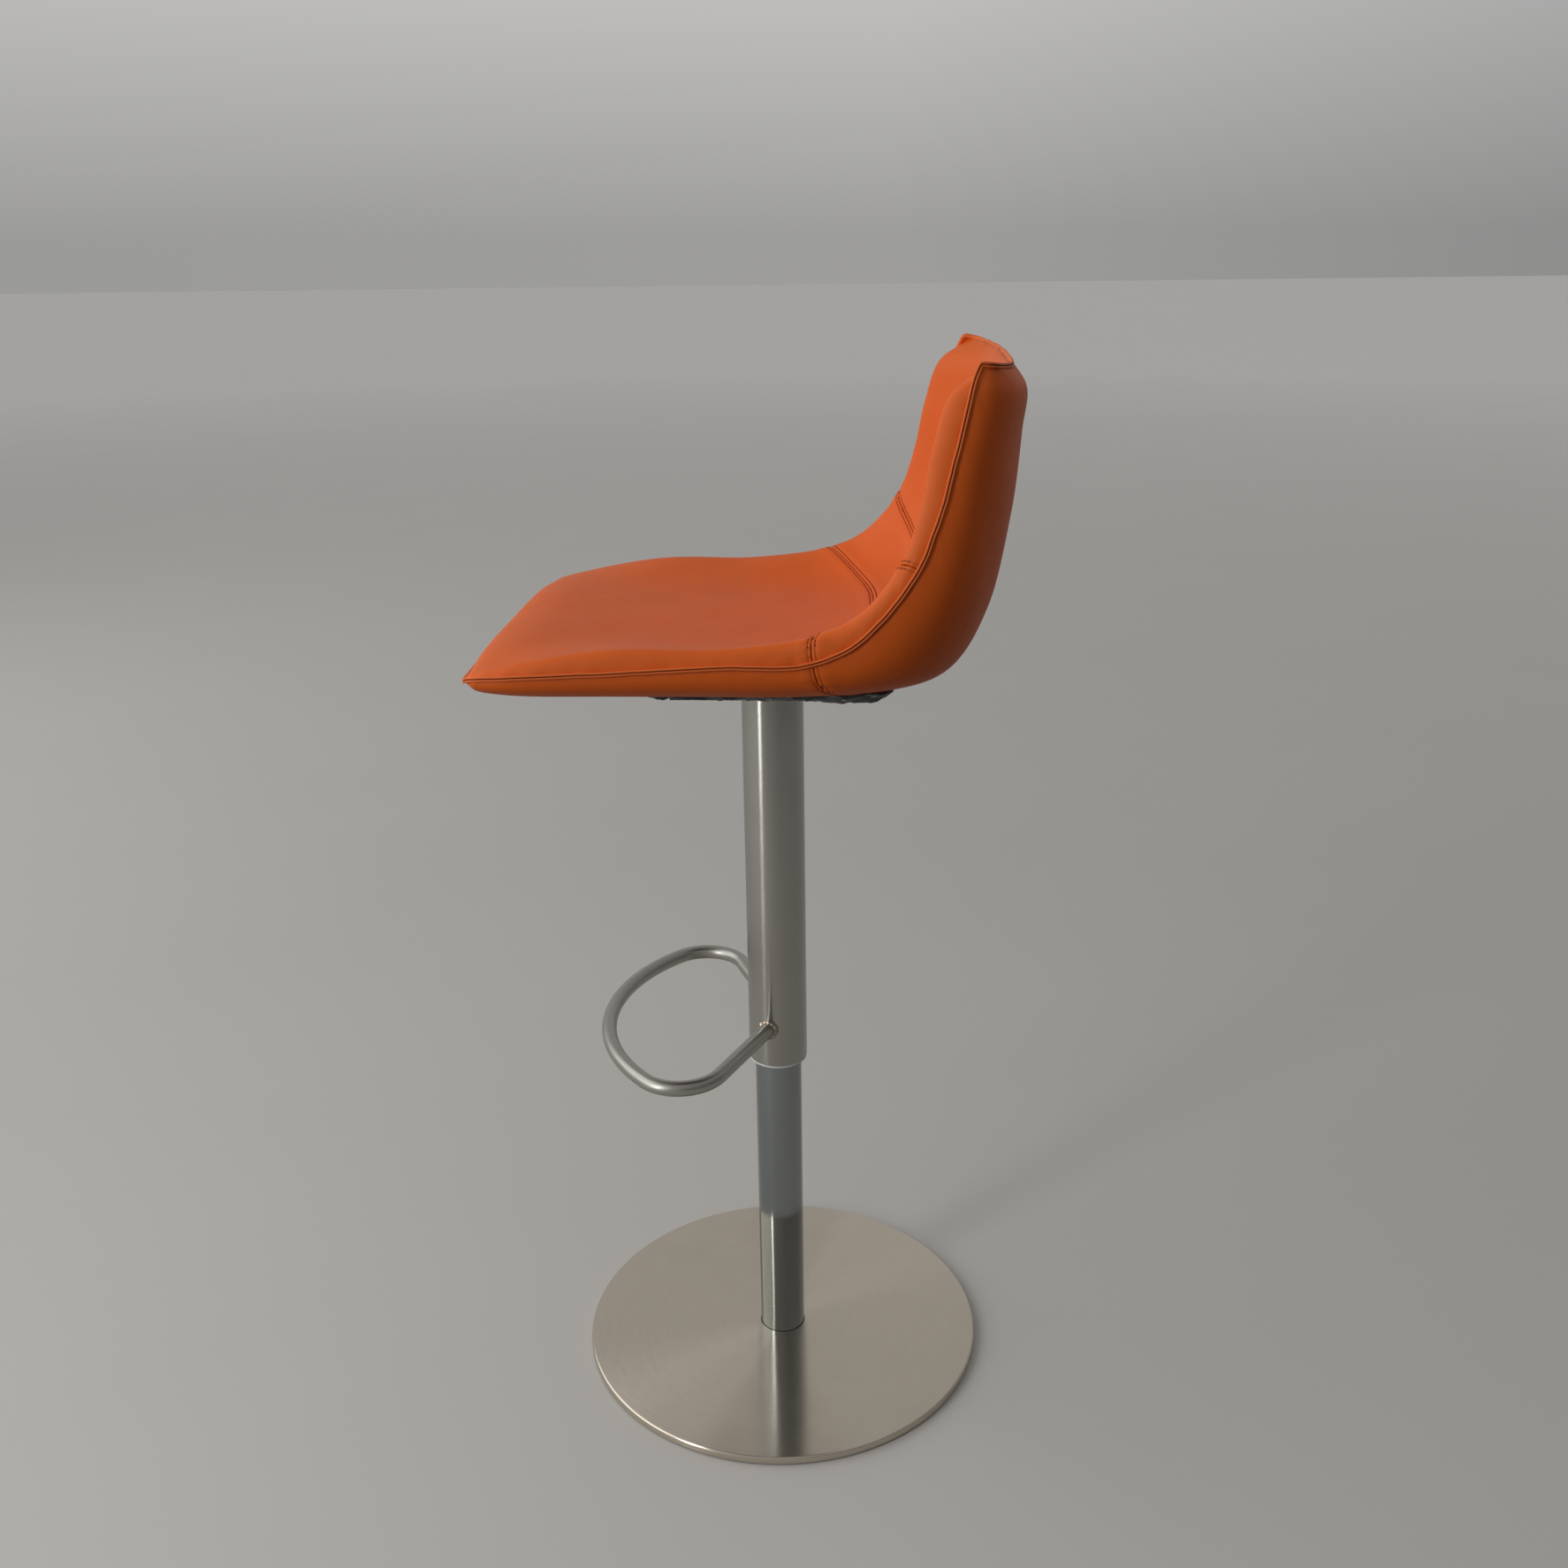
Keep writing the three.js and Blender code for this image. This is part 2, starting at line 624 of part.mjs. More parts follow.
function footrestPath() {
  const { corner, weld, touch, nose, noseY, split } = footrestPlan();
  const rc = footrestCornerRadius;
  const bend = new THREE.Vector3(corner.x + rc * Math.cos(touch), corner.y + rc * Math.sin(touch), 0);
  const root = new THREE.Vector3(weld.x, weld.y, 0);
  const inside = root.clone().sub(bend).setLength(sleeveWall * 4).add(root);
  const flip = (v) => new THREE.Vector3(-v.x, v.y, v.z);
  const path = new THREE.CurvePath();
  path.add(new THREE.LineCurve3(inside, bend));
  path.add(new Arc(corner.x, corner.y, rc, touch, split));
  path.add(new Arc(0, noseY, nose, split, -Math.PI - split));
  path.add(new Arc(-corner.x, corner.y, rc, -Math.PI - split, -Math.PI - touch));
  path.add(new THREE.LineCurve3(flip(bend), flip(inside)));
  return path;
}

function circleShape(radius, bore) {
  const shape = new THREE.Shape();
  shape.absarc(0, 0, radius, 0, 2 * Math.PI, false);
  if (bore > 0) {
    const hole = new THREE.Path();
    hole.absarc(0, 0, bore, 0, 2 * Math.PI, true);
    shape.holes.push(hole);
  }
  return shape;
}

function sweep(shape, path, steps, sides) {
  return new THREE.ExtrudeGeometry(shape, { steps, curveSegments: sides / 2, extrudePath: path });
}

function makeFootrest() {
  const shape = circleShape(footrestTubeRadius, footrestTubeRadius - footrestWall);
  const tube = sweep(shape, footrestPath(), footrestSteps, footrestSides);
  return cut(tube, disc(sleeveRadius + gap, -sleeveRadius, sleeveRadius, tubeSides));
}

// A weld bead round one leg, where it meets the sleeve
function makeBead() {
  const { corner, weld, touch } = footrestPlan();
  const bendX = corner.x + footrestCornerRadius * Math.cos(touch);
  const bendY = corner.y + footrestCornerRadius * Math.sin(touch);
  const turn = Math.atan2(bendY - weld.y, bendX - weld.x);
  const inner = footrestTubeRadius + gap;
  const profile = [
    [inner, -beadLength], [inner + beadThickness, -beadLength], [inner + beadThickness, beadLength / 3],
    [inner + beadThickness / 2, beadLength * 0.8], [inner, beadLength], [inner, -beadLength],
  ];
  const bead = revolve(profile, smallSides).rotateY(Math.PI / 2).rotateZ(turn).translate(weld.x, weld.y, 0);
  return cut(bead, disc(sleeveRadius + gap, -sleeveRadius, sleeveRadius, tubeSides));
}

function buildFootrest() {
  const footrest = new THREE.Group();
  footrest.position.z = footrestHeight;
  add(footrest, 'footrest_loop', makeFootrest(), brushedSteel);
  const bead = makeBead();
  add(footrest, 'footrest_weld_left', bead, plainSteel);
  add(footrest, 'footrest_weld_right', bead.clone().scale(-1, 1, 1), plainSteel);
  return footrest;
}

// Pressed seat plate: a shallow channel with its side flanges turned down
function makeSeatPlate() {
  const half = seatPlateHalfWidth;
  const t = seatPlateThickness;
  const bend = seatPlateBend;
  const shape = new THREE.Shape();
  shape.moveTo(-half, -seatPlateFlange);
  shape.lineTo(-half + t, -seatPlateFlange);
  shape.lineTo(-half + t, -bend);
  shape.lineTo(-half + bend, 0);
  shape.lineTo(half - bend, 0);
  shape.lineTo(half - t, -bend);
  shape.lineTo(half - t, -seatPlateFlange);
  shape.lineTo(half, -seatPlateFlange);
  shape.lineTo(half, t - bend);
  shape.absarc(half - bend, t - bend, bend, 0, Math.PI / 2, false);
  shape.lineTo(-half + bend, t);
  shape.absarc(-half + bend, t - bend, bend, Math.PI / 2, Math.PI, false);
  shape.lineTo(-half, -seatPlateFlange);
  const length = 2 * seatPlateHalfLength;
  const channel = new THREE.ExtrudeGeometry(shape, { depth: length, bevelEnabled: false, curveSegments: hexSides });
  const body = alongY(channel).translate(0, seatPlateHalfLength, 0);
  const holes = boltPlaces.map(({ x, y }) => disc(boltRadius + gap, -overrun, t + overrun, screwSides).translate(x, y, 0));
  const halfSlot = leverWidth / 2 + 2 * runGap;
  const slotBottom = leverUnderside - leverThickness / 2 - seatPlateBottom;
  return cut(body, ...holes, box(-half - overrun, -half + bend, -halfSlot, halfSlot, slotBottom, -gap));
}

const boltPlaces = [1, -1].flatMap((i) => [1, -1].map((j) => ({ x: (i * boltSpacingX) / 2, y: (j * boltSpacingY) / 2 })));

// A channel under the seat plate whose ears carry the pivot pin
function makeBracket() {
  const inner = leverWidth / 2 + runGap;
  const outer = inner + bracketSheet;
  const low = pivotHeight - bracketDrop;
  const web = bracketTop - bracketSheet;
  const shape = new THREE.Shape();
  shape.moveTo(-outer, low);
  shape.lineTo(-inner, low);
  shape.lineTo(-inner, web);
  shape.lineTo(inner, web);
  shape.lineTo(inner, low);
  shape.lineTo(outer, low);
  shape.lineTo(outer, bracketTop);
  shape.lineTo(-outer, bracketTop);
  shape.lineTo(-outer, low);
  const channel = new THREE.ExtrudeGeometry(shape, { depth: bracketLength, bevelEnabled: false });
  const body = channel.rotateX(Math.PI / 2).rotateZ(Math.PI / 2).translate(-leverArm - bracketLength / 2, 0, 0);
  const bore = disc(pivotRadius + gap, -outer - overrun, outer + overrun, smallSides);
  return cut(body, alongY(bore).translate(-leverArm, 0, pivotHeight));
}

// A riveted pivot pin with a head at each end
function makePivotPin() {
  const shank = leverWidth / 2 + runGap + bracketSheet + gap;
  const end = shank + pivotHeadHeight;
  const profile = [
    [0, -end], [pivotHeadRadius, -end], [pivotHeadRadius, -shank], [pivotRadius, -shank],
    [pivotRadius, shank], [pivotHeadRadius, shank], [pivotHeadRadius, end], [0, end],
  ];
  return alongY(revolve(profile, smallSides)).translate(-leverArm, 0, pivotHeight);
}

// The lever's side outline, offset half a thickness to each side of its centre line
function barShape(points, thickness) {
  const side = (sign) => points.map((p, i) => {
    const before = points[Math.max(i - 1, 0)];
    const after = points[Math.min(i + 1, points.length - 1)];
    const along = after.clone().sub(before).normalize();
    return new THREE.Vector2(p.x - (sign * along.y * thickness) / 2, p.y + (sign * along.x * thickness) / 2);
  });
  return new THREE.Shape([...side(1), ...side(-1).reverse()]);
}

function leverLine() {
  const level = pivotHeight;
  return [
    new THREE.Vector2(0, leverNoseCentre),
    new THREE.Vector2(-leverArm, level),
    new THREE.Vector2(-leverKneeReach, level),
    new THREE.Vector2(-leverReach + gripLength, level - leverTipDrop),
    new THREE.Vector2(-leverReach, level - leverTipDrop),
  ];
}

// Turns an outline drawn in X and Z into a slab centred on Y = 0
function slab(shape, width) {
  const body = new THREE.ExtrudeGeometry(shape, { depth: width, bevelEnabled: false, curveSegments: smallSides });
  return body.rotateX(Math.PI / 2).translate(0, width / 2, 0);
}

function makeLever() {
  const bar = slab(barShape(leverLine(), leverThickness), leverWidth);
  const halfWidth = leverWidth / 2;
  const eye = alongY(disc(leverEyeRadius, -halfWidth, halfWidth, smallSides)).translate(-leverArm, 0, pivotHeight);
  const nose = alongY(disc(leverNoseRadius, -halfWidth, halfWidth, smallSides)).translate(0, 0, leverNoseCentre);
  const bore = disc(pivotRadius + runGap, -leverWidth, leverWidth, smallSides);
  return cut(join(bar, eye, nose), alongY(bore).translate(-leverArm, 0, pivotHeight));
}

// A moulded grip pushed over the lever's end
function makeGrip() {
  const shape = new THREE.Shape();
  const halfWidth = gripWidth / 2 - gripCorner;
  const halfLength = gripLength / 2 - gripCorner;
  shape.moveTo(-halfLength, -halfWidth);
  shape.lineTo(halfLength, -halfWidth);
  shape.lineTo(halfLength, halfWidth);
  shape.lineTo(-halfLength, halfWidth);
  shape.lineTo(-halfLength, -halfWidth);
  const depth = gripThickness - 2 * gripCorner;
  const paddle = new THREE.ExtrudeGeometry(shape, {
    depth, bevelThickness: gripCorner, bevelSize: gripCorner, bevelSegments: 3,
  });
  const tip = -leverReach;
  const middle = tip + gripPocket - gripLength / 2;
  const height = pivotHeight - leverTipDrop;
  const body = paddle.translate(middle, 0, height - depth / 2);
  const halfBar = leverWidth / 2 + gap;
  const halfTall = leverThickness / 2 + gap;
  return cut(body, box(tip - gap, tip + gripLength, -halfBar, halfBar, height - halfTall, height + halfTall));
}

// A bolt from below, head down, with a hexagon head
const teeFlangeBottom = skinThickness + gap + shellThickness * 0.55;
const teeBarrelRadius = boltRadius + gap + teeBarrelWall;
const boltTop = teeFlangeBottom + teeFlangeThickness / 2;

function makeBolt() {
  const washerBottom = seatPlateBottom - gap - washerThickness;
  const headTop = washerBottom - gap;
  const head = disc(boltHeadRadius, headTop - boltHeadHeight, headTop, hexSides);
  const shank = disc(boltRadius, headTop - boltHeadHeight / 2, seatBottom + boltTop, screwSides);
  return join(head, shank);
}

function makeTeeNut() {
  const bore = boltRadius + gap;
  const barrel = teeBarrelRadius;
  const low = skinThickness + 2 * gap;
  return revolve([
    [bore, low], [barrel, low], [barrel, teeFlangeBottom], [teeFlangeRadius, teeFlangeBottom],
    [teeFlangeRadius, teeFlangeBottom + teeFlangeThickness], [bore, teeFlangeBottom + teeFlangeThickness],
    [bore, low],
  ], smallSides);
}

function buildMechanism() {
  const mechanism = new THREE.Group();
  add(mechanism, 'seat_plate', makeSeatPlate(), blackSteel, 0, 0, seatPlateBottom);
  add(mechanism, 'lever_bracket', makeBracket(), blackSteel);
  add(mechanism, 'lever_pivot_pin', makePivotPin(), zincSteel);
  const washerBottom = seatPlateBottom - gap - washerThickness;
  boltPlaces.forEach(({ x, y }, i) => {
    const washer = ring(boltRadius + gap, washerRadius, washerBottom, washerBottom + washerThickness, screwSides);
    add(mechanism, `seat_bolt_${i + 1}`, makeBolt(), zincSteel, x, y);
    add(mechanism, `seat_washer_${i + 1}`, washer, zincSteel, x, y);
    add(mechanism, `tee_nut_${i + 1}`, makeTeeNut(), zincSteel, x, y, seatBottom);
  });
  return mechanism;
}

function buildLever() {
  const lever = new THREE.Group();
  add(lever, 'lift_lever', makeLever(), blackSteel);
  add(lever, 'lever_grip', makeGrip(), blackNylon);
  return lever;
}

// Padded seat. Its rails run through the stations, and each layer lies between the outer and inner faces.
function rail(yColumn, zColumn) {
  const points = stationShares.map((s) => new THREE.Vector3(0, s[yColumn] * seatDepth, s[zColumn] * seatRise));
  return new THREE.CatmullRomCurve3(points);
}
const innerRail = rail(0, 1);
const crestRail = rail(2, 3);
const edgeRail = rail(4, 5);
const outerRail = rail(6, 7);
const widthRail = new THREE.CatmullRomCurve3(stationShares.map((s, i) => new THREE.Vector3(s[8], s[9], i)));

// The station that a grid line passes at a share of the half width, because the lines bow with the seams
function bowed(row, u) {
  const { smoothstep } = THREE.MathUtils;
  const across = Math.abs(u);
  const between = smoothstep(row, lowerSeamRow, upperSeamRow);
  const lower = smoothstep(row, bowFirstRow, lowerSeamRow) - between;
  const upper = between - smoothstep(row, upperSeamRow, bowLastRow);
  const back = lowerSeamBow * lower * (1 - across ** lowerSeamPower);
  return row + back - upperSeamBow * upper * (1 - across ** upperSeamPower);
}

function innerPoint(line, u) {
  const row = bowed(line, u);
  const t = row / lastStation;
  const rise = THREE.MathUtils.smoothstep((Math.abs(u) / crestShare) ** crestPower, 0, 1);
  const over = Math.max(0, (Math.abs(u) - crestShare) / (1 - crestShare));
  const fall = 1 - Math.sqrt(Math.max(0, 1 - over * over));
  const crest = crestRail.getPoint(t);
  const point = innerRail.getPoint(t);
  point.lerp(crest, rise);
  point.add(edgeRail.getPoint(t).sub(crest).multiplyScalar(fall));
  point.x = u * widthRail.getPoint(t).x * seatHalfWidth;
  return point;
}

// The outer face, with its own squareness or a squarer one
function outerPoint(line, u, squareness) {
  const t = bowed(line, u) / lastStation;
  const width = widthRail.getPoint(t);
  const power = squareness ? squareness(t * lastStation, width.y) : width.y;
  const climb = 1 - (1 - Math.abs(u) ** power) ** (1 / power);
  const point = outerRail.getPoint(t).lerp(edgeRail.getPoint(t), climb);
  point.x = u * width.x * seatHalfWidth;
  return point;
}

// How much longer a layer's depth runs along the fibre than square to the face
function slope(face, row, u, fibre) {
  const stepRow = lastStation / 1000;
  const stepU = 0.002;
  const lowRow = Math.min(row, lastStation - stepRow);
  const lowU = THREE.MathUtils.clamp(u, -0.996, 0.994);
  const here = face(lowRow, lowU);
  const alongRow = face(lowRow + stepRow, lowU).sub(here);
  const alongU = face(lowRow, lowU + stepU).sub(here);
  const normal = alongRow.cross(alongU).normalize();
  return Math.min(skinSlopeLimit, 1 / Math.max(Math.abs(normal.dot(fibre)), 0.01));
}

// A point between the faces: depth is measured from the outer face, or from the inner one when it is negative
function fibrePoint(row, u, fromOuter, depth) {
  const outer = outerPoint(row, u);
  const inner = innerPoint(row, u);
  const fibre = inner.clone().sub(outer);
  const most = fibre.length() * deepestShare;
  fibre.normalize();
  const face = fromOuter ? outerPoint : innerPoint;
  const along = Math.min(depth * slope(face, row, u, fibre), most);
  return fromOuter ? outer.addScaledVector(fibre, along) : inner.addScaledVector(fibre, -along);
}

// A closed layer over the grid, between two faces given as functions of row and column share
function layer(rows, columns, lower, upper) {
  const across = columns.length;
  const size = rows.length * across;
  const positions = [];
  for (const face of [lower, upper]) {
    for (const row of rows) {
      for (const u of columns) positions.push(...face(row, u).toArray());
    }
  }
  const index = [];
  const quad = (a, b, c, d) => index.push(a, b, c, a, c, d);
  for (let i = 0; i + 1 < rows.length; i += 1) {
    for (let j = 0; j + 1 < across; j += 1) {
      const a = i * across + j;
      quad(a, a + 1, a + across + 1, a + across);
      quad(size + a, size + a + across, size + a + across + 1, size + a + 1);
    }
  }
  for (let i = 0; i + 1 < rows.length; i += 1) {
    const a = i * across;
    const b = a + across - 1;
    quad(a, a + across, size + a + across, size + a);
    quad(b, size + b, size + b + across, b + across);
  }
  for (let j = 0; j + 1 < across; j += 1) {
    const a = j;
    const b = size - across + j;
    quad(a, size + a, size + a + 1, a + 1);
    quad(b, b + 1, size + b + 1, size + b);
  }
  const geometry = new THREE.BufferGeometry();
  geometry.setAttribute('position', new THREE.Float32BufferAttribute(positions, 3));
  geometry.setIndex(index);
  return geometry;
}

function rowsBetween(first, last) {
  return [first, ...rowLines.filter((row) => row > first && row < last), last];
}

function columnsUpTo(share) {
  const half = columnShares.filter((u) => u <= share);
  return [...half.slice(1).reverse().map((u) => -u), ...half];
}

const shellLow = skinThickness + gap;
const shellHigh = shellLow + shellThickness;
const fullColumns = columnsUpTo(1);

function insideShell(row, u) {
  return Math.abs(u) <= shellEdgeShare && row >= shellFirstRow && row <= lastStation - shellFirstRow;
}

// Rows of a sewn panel stop half a seam short of the seam line
function seamRow(row, side) {
  if (row === 0 || row === lastStation) return row;
  const step = lastStation / 1000;
  const length = outerPoint(row + step, 0).distanceTo(outerPoint(row, 0));
  return row + (side * (seamGap / 2) * step) / length;
}

function innerPanel(first, last) {
  const rows = rowsBetween(seamRow(first, 1), seamRow(last, -1));
  const lower = (row, u) => fibrePoint(row, u, false, skinThickness);
  return layer(rows, fullColumns, lower, (row, u) => fibrePoint(row, u, false, 0));
}

const openingHalfWidth = openingHalfWidthShare * seatHalfWidth;
const openingFront = openingFrontShare * seatDepth;
const openingBack = openingBackShare * seatDepth;
const openingTop = seatRise / 8;

function openingBox(inset) {
  return box(-openingHalfWidth - inset, openingHalfWidth + inset, openingFront - inset, openingBack + inset,
    -overrun, openingTop);
}

function outerPanel(first, last) {
  const rows = rowsBetween(seamRow(first, 1), seamRow(last, -1));
  const upper = (row, u) => fibrePoint(row, u, true, skinThickness);
  const skin = layer(rows, fullColumns, (row, u) => fibrePoint(row, u, true, 0), upper);
  return cut(skin, openingBox(0));
}

function makeShell() {
  const rows = rowsBetween(shellFirstRow, lastStation - shellFirstRow);
  const lower = (row, u) => fibrePoint(row, u, true, shellLow);
  const shell = layer(rows, columnsUpTo(shellEdgeShare), lower, (row, u) => fibrePoint(row, u, true, shellHigh));
  const barrel = teeBarrelRadius + gap;
  const tools = boltPlaces.map(({ x, y }) => revolve([
    [0, -overrun], [barrel, -overrun], [barrel, teeFlangeBottom - gap], [teeFlangeRadius + gap, teeFlangeBottom - gap],
    [teeFlangeRadius + gap, shellHigh + overrun], [0, shellHigh + overrun],
  ], smallSides).translate(x, y, 0));
  return cut(shell, ...tools);
}

function makeFoam() {
  const rows = rowsBetween(foamFirstRow, lastStation - foamFirstRow);
  const lower = (row, u) => {
    return fibrePoint(row, u, true, insideShell(row, u) ? shellHigh + gap : shellLow);
  };
  return layer(rows, columnsUpTo(foamEdgeShare), lower, (row, u) => fibrePoint(row, u, false, shellLow));
}

// Black panel that closes the cover's opening underneath. It hangs flatter than the cover, and its top follows it.
function makeUndersidePanel() {
  const half = openingHalfWidth + panelLap;
  const front = openingFront - panelLap;
  const back = openingBack + panelLap;
  const r = panelCorner;
  const shape = new THREE.Shape();
  shape.absarc(half - r, back - r, r, 0, Math.PI / 2, false);
  shape.absarc(-half + r, back - r, r, Math.PI / 2, Math.PI, false);
  shape.absarc(-half + r, front + r, r, Math.PI, 1.5 * Math.PI, false);
  shape.absarc(half - r, front + r, r, 1.5 * Math.PI, 2 * Math.PI, false);
  const depth = openingTop + panelSheet;
  const block = new THREE.ExtrudeGeometry(shape, { depth, bevelEnabled: false, curveSegments: hexSides });
  const rows = rowsBetween(foamFirstRow, lastStation - foamFirstRow);
  const columns = columnsUpTo(foamEdgeShare);
  const high = (row, u) => fibrePoint(row, u, false, skinThickness);
  const seatBody = layer(rows, columns, (row, u) => fibrePoint(row, u, true, skinThickness), high);
  const cover = layer(rows, columns, (row, u) => fibrePoint(row, u, true, -gap), high);
  const holes = boltPlaces.map(({ x, y }) => {
    return disc(teeBarrelRadius + gap, -panelSheet - overrun, openingTop, smallSides).translate(x, y, 0);
  });
  const squareness = (row, power) => {
    return THREE.MathUtils.lerp(panelPower, power, THREE.MathUtils.smoothstep(row, panelRiseRow, panelRiseRow + 1));
  };
  const face = (row, u) => {
    const point = outerPoint(row, u, squareness);
    return point.setZ(point.z - panelSheet);
  };
  const body = common(layer(rows, columns, face, high), block.translate(0, 0, -panelSheet));
  return cut(body, cut(cover, openingBox(-gap)), seatBody, ...holes);
}

// The rim of both covers, as [row, column share] stops from the middle of the front edge round to it again
function rimStops() {
  const columns = fullColumns;
  const rows = rowLines.slice(1, -1);
  const front = columns.map((u) => [0, u]);
  const middle = columns.indexOf(0);
  return [
    ...front.slice(middle), ...rows.map((row) => [row, rimShare]),
    ...columns.map((u) => [lastStation, -u]), ...rows.reverse().map((row) => [row, -rimShare]),
    ...front.slice(0, middle),
  ];
}

// The line steps once between two rim stops, so that it runs alongside the covers' edges
class Route extends THREE.CatmullRomCurve3 {
  getUtoTmapping(u) {
    return u;
  }
}

// The piping's line is the rim, set off outwards by the piping's radius, with mitred corners
function pipingLine() {
  const rim = rimStops().map(([row, u]) => {
    const outer = outerPoint(row, u);
    const inner = innerPoint(row, u);
    return { middle: outer.clone().lerp(inner, 0.5), fibre: inner.sub(outer).normalize() };
  });
  const points = rim.map(({ middle, fibre }, i) => {
    const before = rim[(i + rim.length - 1) % rim.length].middle;
    const after = rim[(i + 1) % rim.length].middle;
    const first = middle.clone().sub(before).cross(fibre).normalize();
    const second = after.clone().sub(middle).cross(fibre).normalize();
    const outward = first.clone().add(second).normalize();
    return middle.clone().addScaledVector(outward, (pipingRadius + 1.5 * gap) / outward.dot(first));
  });
  return new Route([...points, points[0].clone().setX(-seamGap)]);
}

function makePiping() {
  const line = pipingLine();
  return sweep(circleShape(pipingRadius, 0), line, line.points.length - 1, pipingSides);
}

function buildSeat() {
  const seat = new THREE.Group();
  seat.position.z = seatBottom;
  add(seat, 'underside_panel', makeUndersidePanel(), blackFabric);
  add(seat, 'seat_shell', makeShell(), plywood);
  add(seat, 'seat_foam', makeFoam(), foamRubber);
  add(seat, 'seat_panel_cover', innerPanel(0, lowerSeamRow), tanLeather);
  add(seat, 'lumbar_panel_cover', innerPanel(lowerSeamRow, upperSeamRow), tanLeather);
  add(seat, 'back_panel_cover', innerPanel(upperSeamRow, lastStation), tanLeather);
  add(seat, 'outer_cover_front', outerPanel(0, lowerSeamRow), tanLeather);
  add(seat, 'outer_cover_back', outerPanel(lowerSeamRow, lastStation), tanLeather);
  add(seat, 'edge_piping', makePiping(), tanPiping);
  return seat;
}

const stool = new THREE.Group();
stool.add(buildBase(), buildGasRod(), buildColumn(), buildFootrest(), buildMechanism(), buildLever(), buildSeat());
add(stool, 'release_pin', makeReleasePin(), zincSteel);

export default stool;
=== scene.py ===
"""Dresses a counter stool: a padded bucket seat on a gas-lift column with a footrest loop and a round base.

Metres, +Z up. The seat faces -Y and the sitter's left is +X.
"""

import json
import math

import bmesh
import bpy
import numpy as np
from mathutils import Matrix, Vector


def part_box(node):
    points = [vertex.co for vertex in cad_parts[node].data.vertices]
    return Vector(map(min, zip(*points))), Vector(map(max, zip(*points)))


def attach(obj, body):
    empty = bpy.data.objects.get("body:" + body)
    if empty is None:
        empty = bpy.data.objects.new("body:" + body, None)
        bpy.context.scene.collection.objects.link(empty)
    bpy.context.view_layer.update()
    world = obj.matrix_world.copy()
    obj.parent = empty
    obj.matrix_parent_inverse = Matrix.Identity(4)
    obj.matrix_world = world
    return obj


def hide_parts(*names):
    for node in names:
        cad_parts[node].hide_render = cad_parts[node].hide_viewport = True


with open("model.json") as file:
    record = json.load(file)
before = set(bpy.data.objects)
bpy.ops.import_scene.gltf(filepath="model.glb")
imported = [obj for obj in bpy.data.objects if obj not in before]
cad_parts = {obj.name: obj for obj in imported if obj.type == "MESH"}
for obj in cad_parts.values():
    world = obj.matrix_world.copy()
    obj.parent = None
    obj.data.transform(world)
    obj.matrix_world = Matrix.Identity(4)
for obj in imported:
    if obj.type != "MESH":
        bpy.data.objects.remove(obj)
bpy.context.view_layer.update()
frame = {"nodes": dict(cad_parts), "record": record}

bl_info = {
    "name": "Counter Stool",
    "version": (1, 0, 0),
    "blender": (4, 5, 0),
    "location": "3D View > Sidebar > Stool",
    "description": "Upholstery, steel and stage of a gas-lift counter stool",
    "category": "Object",
}

MM = 0.001
FULL_TURN = 2 * math.pi
UP = np.array([0.0, 0.0, 1.0])


# Sizes and colours a user would change

def linear(code):
    """Linear red, green and blue of an sRGB colour written as #RRGGBB."""
    parts = [int(code[i:i + 2], 16) / 255 for i in (1, 3, 5)]
    return tuple(c / 12.92 if c <= 0.04045 else ((c + 0.055) / 1.055) ** 2.4 for c in parts)


def labelled(text, default, kind=bpy.props.FloatProperty, **settings):
    """A property whose text reads "Name: description"."""
    name, description = text.split(": ", 1)
    return kind(name=name, description=description, default=default, **settings)


def length(millimetres, text):
    return labelled(text, millimetres * MM, unit="LENGTH", precision=4)


def angle(degrees, text):
    return labelled(text, math.radians(degrees), subtype="ANGLE")


def colour(code, text):
    return labelled(text, linear(code), bpy.props.FloatVectorProperty, subtype="COLOR", size=3, min=0, max=1)


class StoolSeatSizes(bpy.types.PropertyGroup):
    """Sizes of the padded seat and its sewing."""

    depth: length(517, "Depth: front edge to the back's rear face")
    rise: length(309, "Rise: underside to the back's top edge")
    half_width: length(208, "Half width: middle plane to the widest edge")
    panel_sheet: length(1.9, "Panel sheet: underside panel's face below the cover's lowest line")
    skin: length(1.3, "Leather: thickness of the leather with its backing")
    grid: length(2.3, "Mesh pitch: spacing of the covers' mesh lines")
    seam_gap: length(0.12, "Seam gap: between two panels' folded edges")
    seam_depth: length(1.1, "Seam depth: how deep the leather dips into a seam")
    seam_reach: length(0.8, "Seam reach: half width of the dip at a seam")
    stitch_offset: length(3.5, "Stitch offset: from a seam to its row of topstitching")
    stitch_pitch: length(3.6, "Stitch pitch: from one topstitch to the next")
    stitch_length: length(2.5, "Stitch length: visible thread of one stitch")
    stitch_pull: length(0.4, "Stitch pull: how deep the stitches draw the leather in")
    thread: length(0.55, "Thread radius: radius of the sewing thread")
    pucker: length(0.42, "Pucker height: height of the gathers beside a seam")
    wave: length(0.35, "Wave height: height of the broad unevenness of the padding")
    lip: length(1.15, "Welt lip radius: radius of each of the two turned edges that form the welt")
    lip_rise: length(1.45, "Welt height: how far the lips' centres stand out of the edge")
    lip_spread: length(1.3, "Welt half spread: from the groove between the lips to each lip's centre")


